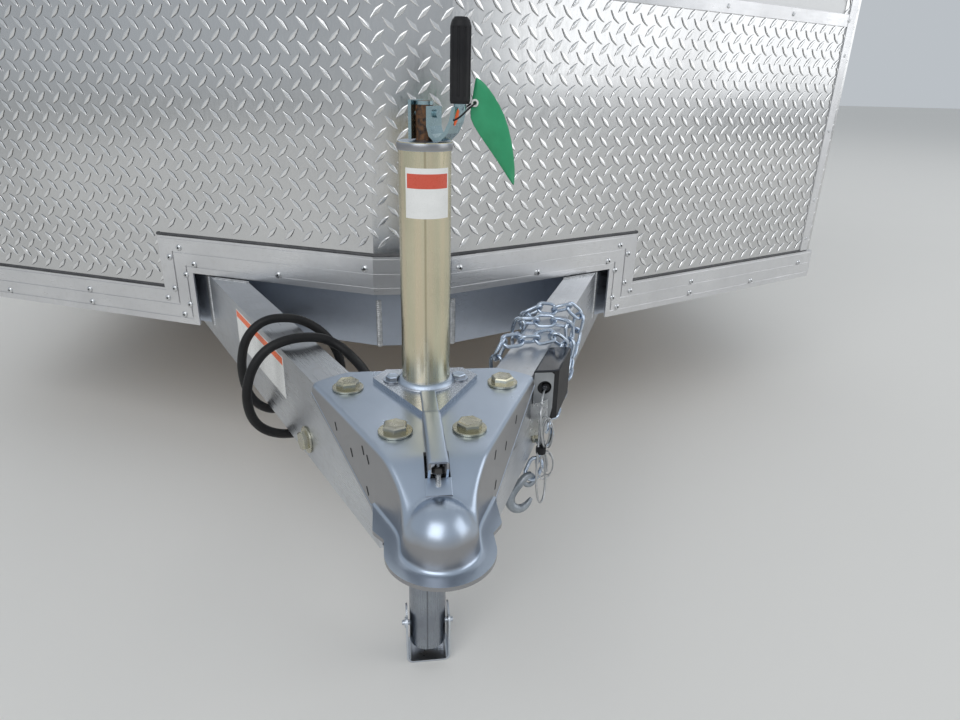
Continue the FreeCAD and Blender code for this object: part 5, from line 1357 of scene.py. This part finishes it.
# Leaf-shaped hang tag beside the crank: its two edges as (x, height) from top to tip, at one distance ahead of the
# jack's axis, its eyelet and tie, and the plain dot on the crank
hangTag = {
    "y": -22.0, "curl": 4.0, "sheet": 0.6, "eyelet": (49.4, 746.6, 3.9),
    "right": ((51.2, 770.6), (59.0, 766.9), (70.5, 753.0), (81.0, 737.2), (90.1, 711.0), (95.0, 678.8), (93.4, 665.4)),
    "left": ((50.0, 770.2), (47.6, 757.0), (46.0, 742.5), (43.6, 732.6), (53.8, 716.8), (69.0, 698.0), (92.4, 664.9)),
    "tie": ((49.5, -29.0, 746.6), (42.0, -33.0, 741.0), (33.0, -36.5, 733.0), (26.0, -31.0, 729.0),
            (27.0, -19.0, 731.0), (37.0, -14.0, 739.0), (47.0, -17.0, 746.0), (50.5, -23.0, 747.6)),
    "dot": ((31.0, -28.6, 733.0), (0.79, -0.56, -0.24), (3.2, 9.0)),
}


def makeHangTag(look):
    rows = []
    for i, ((x0, z0), (x1, z1)) in enumerate(zip(look["left"], look["right"])):
        row = []
        for share in (k / 8 for k in range(9)):
            lift = look["curl"] * (sin(pi * share) * 0.7 + 0.8 * (i / len(look["left"])) ** 2)
            row.append(spot(between(x0, x1, share), look["y"] - lift, between(z0, z1, share)))
        rows.append(row)
    mesh = plainMesh("hangTag", *loft(rows, closedEnds=False, ringClosed=False), dulls["greenTag"])
    tag = walled(addObject("hangTag", mesh, 60), look["sheet"])
    smoother = tag.modifiers.new("smoother", "SUBSURF")
    smoother.levels = smoother.render_levels = 1
    settle(tag, "chassis", "black_plastic")
    x, z, radius = look["eyelet"]
    rings = [[spot(x + out * cos(turn), look["y"] - 2.6 - rise, z + out * sin(turn)) for turn in turns(20)]
             for out, rise in ((radius, -0.5), (radius, 0.6), (radius * 0.85, 1.3), (radius * 0.55, 1.3),
                               (radius * 0.45, 0.4), (radius * 0.45, -0.5))]
    shaped("tagEyelet", loft(rings + rings[:1], closedEnds=False), dulls["whiteLabel"], 50, "chassis", "black_plastic")
    tie = [spot(*row) for row in look["tie"]]
    loop = splineObject("tagTie", tie, 0.9, dulls["blackPlastic"], 3, 3, cyclic=True)
    settle(fixed("tagTie", loop, 60), "chassis", "black_plastic")
    middle, facing, (wide, high) = look["dot"]
    middle, facing = spot(*middle), Vector(facing).normalized()
    up = Vector((0.22, -0.1, 1.0))
    up = (up - facing * up.dot(facing)).normalized()
    side = facing.cross(up)
    oval = [[middle + (side * wide * share * cos(turn) + up * high * share * sin(turn) + facing * (rise - 0.2)) / 1000
             for turn in turns(20)] for share, rise in ((1.0, 0.0), (0.9, 0.5), (0.5, 0.8))]
    shaped("crankDot", loft(oval), dulls["orangeLabel"], 50, "chassis", "jack_steel")


makeHangTag(hangTag)

# Blank label on the right beam, with an orange band
beamLabel = {"y": (137.0, 360.0), "z": (347.0, 410.0), "band": 13.0, "thick": 0.3}


def makeBeamLabel(look):
    (y0, y1), (z0, z1), thick = look["y"], look["z"], look["thick"]
    for name, front, rear, foot, head, outs, finish in (
            ("beamLabel", y0, y1, z0, z1, (0.05, thick), dulls["whiteLabel"]),
            ("beamLabelBand", y0 + 2, y1 - 2, z1 - look["band"], z1 - 2, (thick, thick + 0.15), dulls["orangeLabel"])):
        corners = ((front, foot), (rear, foot), (rear, head), (front, head))
        rings = [[beamSpot(-1, y, z, out) for y, z in corners] for out in outs]
        shaped(name, loft(rings), finish, None, "chassis", "trim_aluminium")


makeBeamLabel(beamLabel)
print("jack details and labels set")

# Tyres: a profile of (radius, half width) turned about the axle, with grooves round the tread and cuts across it
tyreLook = {"tread": 150.0, "radius": 344.5, "groove": 7.0,
            "grooves": ((-42.0, 8.0), (-15.0, 7.0), (15.0, 7.0), (42.0, 8.0)), "blocks": 40, "cut": 0.16,
            "sideCut": 5.0, "middleCut": 2.2, "sideFrom": 46}
sidewall = ((184.0, 70.0), (190.5, 76.0), (203.0, 79.5), (208.0, 84.0), (216.0, 90.0), (232.0, 98.0), (248.0, 101.6),
            (262.0, 102.5), (280.0, 101.4), (292.0, 99.6), (294.0, 100.6), (298.0, 100.4), (300.0, 98.4), (312.0, 95.0),
            (322.0, 91.0), (331.0, 85.0), (339.0, 77.0))


# Each point as (radius, out, kind): 0 is never cut, 1 is tread and 2 the shoulder
def tyreProfile(look):
    top = look["radius"]
    half = look["tread"] / 2 - 5
    tread = [(top - 0.9, half, 1)]
    for middle, width in reversed(look["grooves"]):
        for out, depth in ((middle + width / 2, 0.0), (middle + width / 2 - 1.2, look["groove"]),
                           (middle - width / 2 + 1.2, look["groove"]), (middle - width / 2, 0.0)):
            tread.append((top - 0.5 * (out / half) ** 2 - depth, out, 1 if depth == 0 else 0))
    tread.append((top - 0.9, -half, 1))
    outer = [(r, out, 2 if r > 320 else 0) for r, out in sidewall]
    inner = [(r, -out, cut) for r, out, cut in reversed(outer)]
    return outer + tread + inner


def tyreRings(look):
    profile = tyreProfile(look)
    rings = []
    block = 2 * pi / look["blocks"]
    for k in range(look["blocks"]):
        for share, cut in ((0.0, 0), (0.42, 0), (1 - look["cut"], 0), (1 - look["cut"] + 0.02, 1), (0.98, 1)):
            turn = -pi / 2 + (k + share) * block
            ring = []
            for radius, out, kind in profile:
                skew = block * 0.25 * (out / 75.0) if kind == 1 else block * 0.25 * (1 if out > 0 else -1)
                lower = cut * (look["sideCut"] if abs(out) > look["sideFrom"] else look["middleCut"]) if kind else 0
                angle = turn + (skew if kind else 0)
                ring.append((out, (radius - lower) * cos(angle), (radius - lower) * sin(angle)))
            rings.append(ring)
    return rings


# Wheel disc: eight superellipse openings with turned-in edges, one sector each
rimLook = {"windows": 8, "inner": 62.0, "outer": 184.0, "windowR": (97.0, 161.0), "windowTurn": (0.215, 0.262),
           "power": 3.2, "sheet": 7.0, "bolts": 6, "boltCircle": 69.85, "nutOut": 44.0}


def discOut(radius):
    return 45.0 - 9.0 * eased(radius, 70.0, 120.0) + 6.0 * eased(radius, 140.0, 184.0)


def discMesh(look):
    points, faces = [], []
    pitch = 2 * pi / look["windows"]
    low, high = look["windowR"]
    middle, power, count = (low + high) / 2, look["power"], 32
    for k in range(look["windows"]):
        loops = []
        for share in (0.0, 0.35, 0.7, 0.9, 1.0):
            loop = []
            for turn in turns(count):
                a, b = cos(turn), sin(turn)
                reach = (abs(a) ** power + abs(b) ** power) ** (-1 / power)
                rIn = middle + a * reach * (high - low) / 2
                tIn = b * reach * between(*look["windowTurn"], (rIn - low) / (high - low))
                square = 1 / max(abs(a), abs(b))
                rOut = middle + a * square * (look["outer"] - middle if a > 0 else middle - look["inner"])
                radius, angle = between(rOut, rIn, share), between(b * square * pitch / 2, tIn, share)
                dip = 0.0 if share < 0.9 else (1.2 if share < 1 else 5.0)
                loop.append((discOut(radius) - dip, radius * cos(k * pitch + angle), radius * sin(k * pitch + angle)))
            loops.append(loop)
        sector, rest = loft(loops, closedEnds=False)
        faces += [tuple(index + len(points) for index in face) for face in rest]
        points += sector
    return points, faces


barrelProfile = ((178.0, -80.0), (184.0, -83.5), (200.0, -83.5), (201.5, -82.0), (201.5, -77.0), (190.0, -76.0),
                 (188.0, -60.0), (181.0, -50.0), (181.0, 40.0), (188.0, 56.0), (190.0, 76.0), (201.5, 77.0),
                 (201.5, 82.0), (200.0, 83.5), (193.0, 83.0), (187.0, 79.0), (183.0, 62.0), (176.0, 50.0),
                 (175.0, 36.0), (174.5, -46.0), (182.0, -58.0), (178.0, -80.0))
hubProfile = ((64.0, 38.0), (64.0, 45.5), (58.0, 47.5), (44.0, 47.8), (42.0, 50.5), (37.5, 51.0), (36.2, 53.0),
              (35.6, 80.0), (34.0, 86.5), (29.0, 90.2), (18.0, 91.7), (0.4, 92.0))
drumProfile = ((40.0, -5.0), (118.0, -5.0), (125.5, -9.0), (126.0, -30.0), (124.5, -31.0), (124.5, -36.0),
               (126.0, -37.0), (126.0, -74.0), (120.0, -74.0), (120.0, -14.0), (40.0, -14.0))


def turnedSolid(profile, steps):
    rings = [[(out, r * cos(turn), r * sin(turn)) for r, out in profile] for turn in turns(steps)]
    return loft(rings + rings[:1], closedEnds=False, ringClosed=False)


# A form given as (out, back, up) from a wheel's centre, on one wheel
def wheelPiece(name, form, wheel, finish, smooth):
    side, y, tail = wheel
    points, faces = form
    placed = [spot(side * (wheels["x"] + out), y + back, wheels["z"] + up) for out, back, up in points]
    return addObject(name + tail, plainMesh(name + tail, placed, faces, finish), smooth)


def makeWheels(look):
    nut = turnedPrototype("wheelNut", [(11.0, 0.0), (11.0, 15.0), (9.8, 17.5), (6.0, 19.0), (0.4, 19.4)], 6, 30)
    rings = tyreRings(tyreLook)
    tyre = loft(rings + rings[:1], closedEnds=False, ringClosed=False)
    disc, barrel = discMesh(look), turnedSolid(barrelProfile, 72)
    hub, drum = turnedSolid(hubProfile, 36), turnedSolid(drumProfile, 48)
    for label, side, y in (("front_left", 1, wheels["frontY"]), ("front_right", -1, wheels["frontY"]),
                           ("rear_left", 1, wheels["rearY"]), ("rear_right", -1, wheels["rearY"])):
        body, wheel = "wheel_" + label, (side, y, label.title().replace("_", ""))
        settle(wheelPiece("tyre", tyre, wheel, tyreRubber, 38), body, "tyre", "tyre_" + label)
        settle(wheelPiece("rimBarrel", barrel, wheel, metals["wheelAlloy"], 35), body, "wheel_alloy", "rim_" + label)
        made = walled(wheelPiece("rimDisc", disc, wheel, metals["wheelAlloy"], 45), look["sheet"])
        faced(made.data, Vector((side, 0, 0)))
        settle(made, body, "wheel_alloy")
        settle(wheelPiece("hub", hub, wheel, metals["hubCap"], 35), body, "wheel_alloy")
        settle(wheelPiece("drum", drum, wheel, metals["castIron"], 35), body, "axle_steel")
        places = []
        for k in range(look["bolts"]):
            turn, reach = 2 * pi * (k + 0.5) / look["bolts"], look["boltCircle"]
            place = spot(side * (wheels["x"] + look["nutOut"]), y + reach * cos(turn), wheels["z"] + reach * sin(turn))
            places.append((place, Vector((side, 0, 0))))
        placeCopies("wheelNuts" + wheel[2], places, nut, metals["hubCap"], body, "wheel_alloy", smooth=30)
    forget(nut)


makeWheels(rimLook)
print("wheels made")


# Rounded rectangle as a ring of points, from its half sizes and corner radius
def softRectangle(halfA, halfB, corner):
    ring = []
    for cornerA, cornerB, first in ((1, 1, 0), (-1, 1, 90), (-1, -1, 180), (1, -1, 270)):
        for k in range(5):
            turn = radians(first + 90 * k / 4)
            ring.append((cornerA * (halfA - corner) + corner * cos(turn),
                         cornerB * (halfB - corner) + corner * sin(turn)))
    return ring


# Lamp bezels: (half length, half height) of the lens that each frames, its corner and middle, and how far the bezel
# stands round it and out
bezels = {"tail": {"half": (26.0, 75.0), "corner": 10.0, "middle": (1004.0, 5109.0, 1010.0), "lip": 4.0, "depth": 5.0},
          "marker": {"half": (32.0, 10.0), "corner": 6.0, "middle": (1041.0, 912.0, 2280.0), "lip": 3.5, "depth": 4.5}}


def bezelPiece(name, look, place, facing, along):
    up, lip, depth = facing.cross(along), look["lip"], look["depth"]
    rings = []
    for grow, out in ((lip, -0.3), (lip, depth - 1.2), (lip - 1.2, depth), (1.4, depth), (0.5, depth - 1.0),
                      (0.5, -0.3)):
        halfA, halfB = look["half"]
        rings.append([place + (along * a + up * b + facing * out) / 1000
                      for a, b in softRectangle(halfA + grow, halfB + grow, look["corner"] + grow)])
    shaped(name, loft(rings + rings[:1], closedEnds=False), dulls["blackPlastic"], 40, "chassis", "black_plastic")


def makeBezels(looks):
    back, across = Vector((0, 1, 0)), Vector((1, 0, 0))
    for kind, look in looks.items():
        x, y, z = look["middle"]
        for side, tail in ((1, "Left"), (-1, "Right")):
            facing, along = (back, across) if kind == "tail" else (across * side, back)
            bezelPiece(kind + "Bezel" + tail, look, spot(side * x, y, z), facing, along)


makeBezels(bezels)

# Rubber seals round the edges of both doors
seals = {"stand": 2.4, "sideDoor": {"y": (1066.0, 1964.0), "z": (471.0, 2271.0), "x": (-1043.0, -1034.0)},
         "ramp": {"x": 961.0, "z": (450.0, 2322.0), "y": (5090.0, 5103.0)}}


# Section of a seal: how far it stands out at each depth of the door's edge
def sealSection(stand, near, far):
    return ((-0.4, near), (stand * 0.7, near), (stand, (near + far) / 2), (stand * 0.7, far), (-0.4, far))


def makeSeals(look):
    door = look["sideDoor"]
    (y0, y1), (z0, z1) = door["y"], door["z"]
    rings = []
    for grow, x in sealSection(look["stand"], *door["x"]):
        edge = softRectangle((y1 - y0) / 2 + grow, (z1 - z0) / 2 + grow, 3.0 + max(grow, 0))
        rings.append([spot(x, (y0 + y1) / 2 + a, (z0 + z1) / 2 + b) for a, b in edge])
    shaped("sideDoorSeal", loft(rings + rings[:1], closedEnds=False), dulls["cableJacket"], 50, "side_door",
           "black_rubber")
    ramp = look["ramp"]
    half, (z0, z1) = ramp["x"], ramp["z"]
    section = sealSection(look["stand"], *ramp["y"])
    rings = [[spot(x + wayX * grow, y, z + wayZ * grow) for grow, y in section]
             for x, z, wayX, wayZ in ((-half, z0, -1, 0), (-half, z1, -1, 1), (half, z1, 1, 1), (half, z0, 1, 0))]
    shaped("rampSeal", loft(rings), dulls["cableJacket"], 50, "ramp_door", "black_rubber")


makeSeals(seals)

# Screw rows on the body: along the roof trim, down the skin's lap joints but not at the fenders, up and over the rear
# frame, round the door's frame but not at its hinges, and on the hinges
bodyScrews = {"roofZ": 2366.0, "roofY": 870, "roofStep": 305.0, "noseStep": 200.0, "jointY": (2049.2, 3268.2, 4487.2),
              "jointStep": 152.0, "jointZ": (410.0, 2345.0), "fenderY": (2418, 4218), "fenderZ": 775,
              "frameStep": 228.0, "postX": 1000.0, "postZ": 420, "headZ": 2372.0, "doorEdgeY": (1042.0, 1992.0),
              "doorEdgeZ": (443.0, 2299.0), "doorZ": 450, "doorY": 1100, "doorStep": 206,
              "hingeZ": (661.0, 1371.0, 2081.0), "hingeClear": 70, "hingeRise": (-26.0, 0.0, 26.0),
              "hingeY": (1036.0, 1080.0), "beyondSide": 1300, "beyondBack": 5400}


# Where a ray meets a node, or nothing
def struck(node, start, aim):
    hit, place, facing, _ = nodes[node].ray_cast(start, aim)
    return [(place, facing)] if hit else []


def makeBodyScrews(look):
    screw = turnedPrototype("bodyScrew", [(6.0, -0.3), (6.0, 0.5), (5.0, 1.9), (3.0, 2.6), (2.2, 1.8)], 8, 40)
    trim, onSkin, door = [], [], []
    ahead, left = Vector((0, -1, 0)), Vector((1, 0, 0))
    low, high = look["jointZ"]
    outside, behind = look["beyondSide"], look["beyondBack"]
    for side, wall in ((1, "side_wall_left"), (-1, "side_wall_right")):
        for k in range(14):
            start = spot(side * outside, look["roofY"] + k * look["roofStep"], look["roofZ"])
            trim.append(landing("roof_trim", start, left * -side))
        for y in look["jointY"]:
            for k in range(int((high - low) / look["jointStep"]) + 1):
                z = low + k * look["jointStep"]
                if z > look["fenderZ"] or not look["fenderY"][0] < y < look["fenderY"][1]:
                    onSkin.append(landing(wall, spot(side * outside, y, z), left * -side))
        for k in range(9):
            start = spot(side * look["postX"], behind, look["postZ"] + k * look["frameStep"])
            trim.append(landing("rear_frame", start, ahead))
    for k in range(-4, 5):
        trim.append(landing("rear_frame", spot(k * look["frameStep"], behind, look["headZ"]), ahead))
    for k in range(-5, 6):
        trim.append(noseLanding("roof_trim", k * look["noseStep"] + 0.1, look["roofZ"]))
    for k in range(9):
        z = look["doorZ"] + k * look["frameStep"]
        if all(abs(z - middle) > look["hingeClear"] for middle in look["hingeZ"]):
            for y in look["doorEdgeY"]:
                trim += struck("side_door_frame", spot(-outside, y, z), left)
    for k in range(5):
        for z in look["doorEdgeZ"]:
            trim.append(landing("side_door_frame", spot(-outside, look["doorY"] + k * look["doorStep"], z), left))
    onFrame, onDoor = look["hingeY"]
    for middle in look["hingeZ"]:
        for rise in look["hingeRise"]:
            trim += struck("side_door_hinges", spot(-outside, onFrame, middle + rise), left)
            door += struck("side_door", spot(-outside, onDoor, middle + rise), left)
    placeCopies("trimScrews", trim, screw, metals["rivetSteel"], "chassis", "trim_aluminium", 0.9, smooth=40)
    placeCopies("skinScrews", onSkin, screw, skin, "chassis", "skin", 0.8, smooth=40)
    placeCopies("doorScrews", door, screw, metals["rivetSteel"], "side_door", "trim_aluminium", 0.8, smooth=40)
    forget(screw)


makeBodyScrews(bodyScrews)
print("bezels, seals and body screws set")

# Floor, light and background
studio = {"floor": (0.80, 0.785, 0.755), "half": 40.0, "world": 0.56, "sky": (0.88, 0.94, 1.0),
          "lamps": (("keyLight", (-3.5, -9.5, 7.5), (0, -1.0, 0.6), 9.0, 430.0),
                    ("fillLight", (10.0, -3.5, 4.5), (0, 0.0, 0.8), 8.0, 230.0),
                    ("backLight", (-2.0, 10.0, 7.0), (0, 0.5, 1.0), 8.0, 120.0))}


def makeStudio(look):
    made, tree, shader, place = startMaterial("studioFloor", Roughness=0.85)
    grain = noise(tree, place, 3.0, 3.0)
    tint = look["floor"]
    base = mixed(tree, grain, tint, [value * 0.985 for value in tint])
    tree.links.new(base, shader.inputs["Base Color"])
    half = look["half"]
    corners = [Vector((x, y, -0.0005)) for x, y in ((-half, -half), (half, -half), (half, half), (-half, half))]
    floor = addObject("studioFloor", plainMesh("studioFloor", corners, [(0, 1, 2, 3)], made))
    world = bpy.data.worlds.new("studio")
    world.use_nodes = True
    bpy.context.scene.world = world
    glow = world.node_tree.nodes["Background"]
    glow.inputs["Color"].default_value = (*look["sky"], 1.0)
    glow.inputs["Strength"].default_value = look["world"]
    for name, place, aim, width, power in look["lamps"]:
        lamp = bpy.data.lights.new(name, "AREA")
        lamp.shape = "SQUARE"
        lamp.size = width
        lamp.energy = power
        held = bpy.data.objects.new(name, lamp)
        bpy.context.scene.collection.objects.link(held)
        held.location = place
        held.rotation_euler = (Vector(aim) - Vector(place)).to_track_quat("-Z", "Y").to_euler()
    bpy.context.scene.view_settings.view_transform = "Standard"


makeStudio(studio)
print("studio lit")
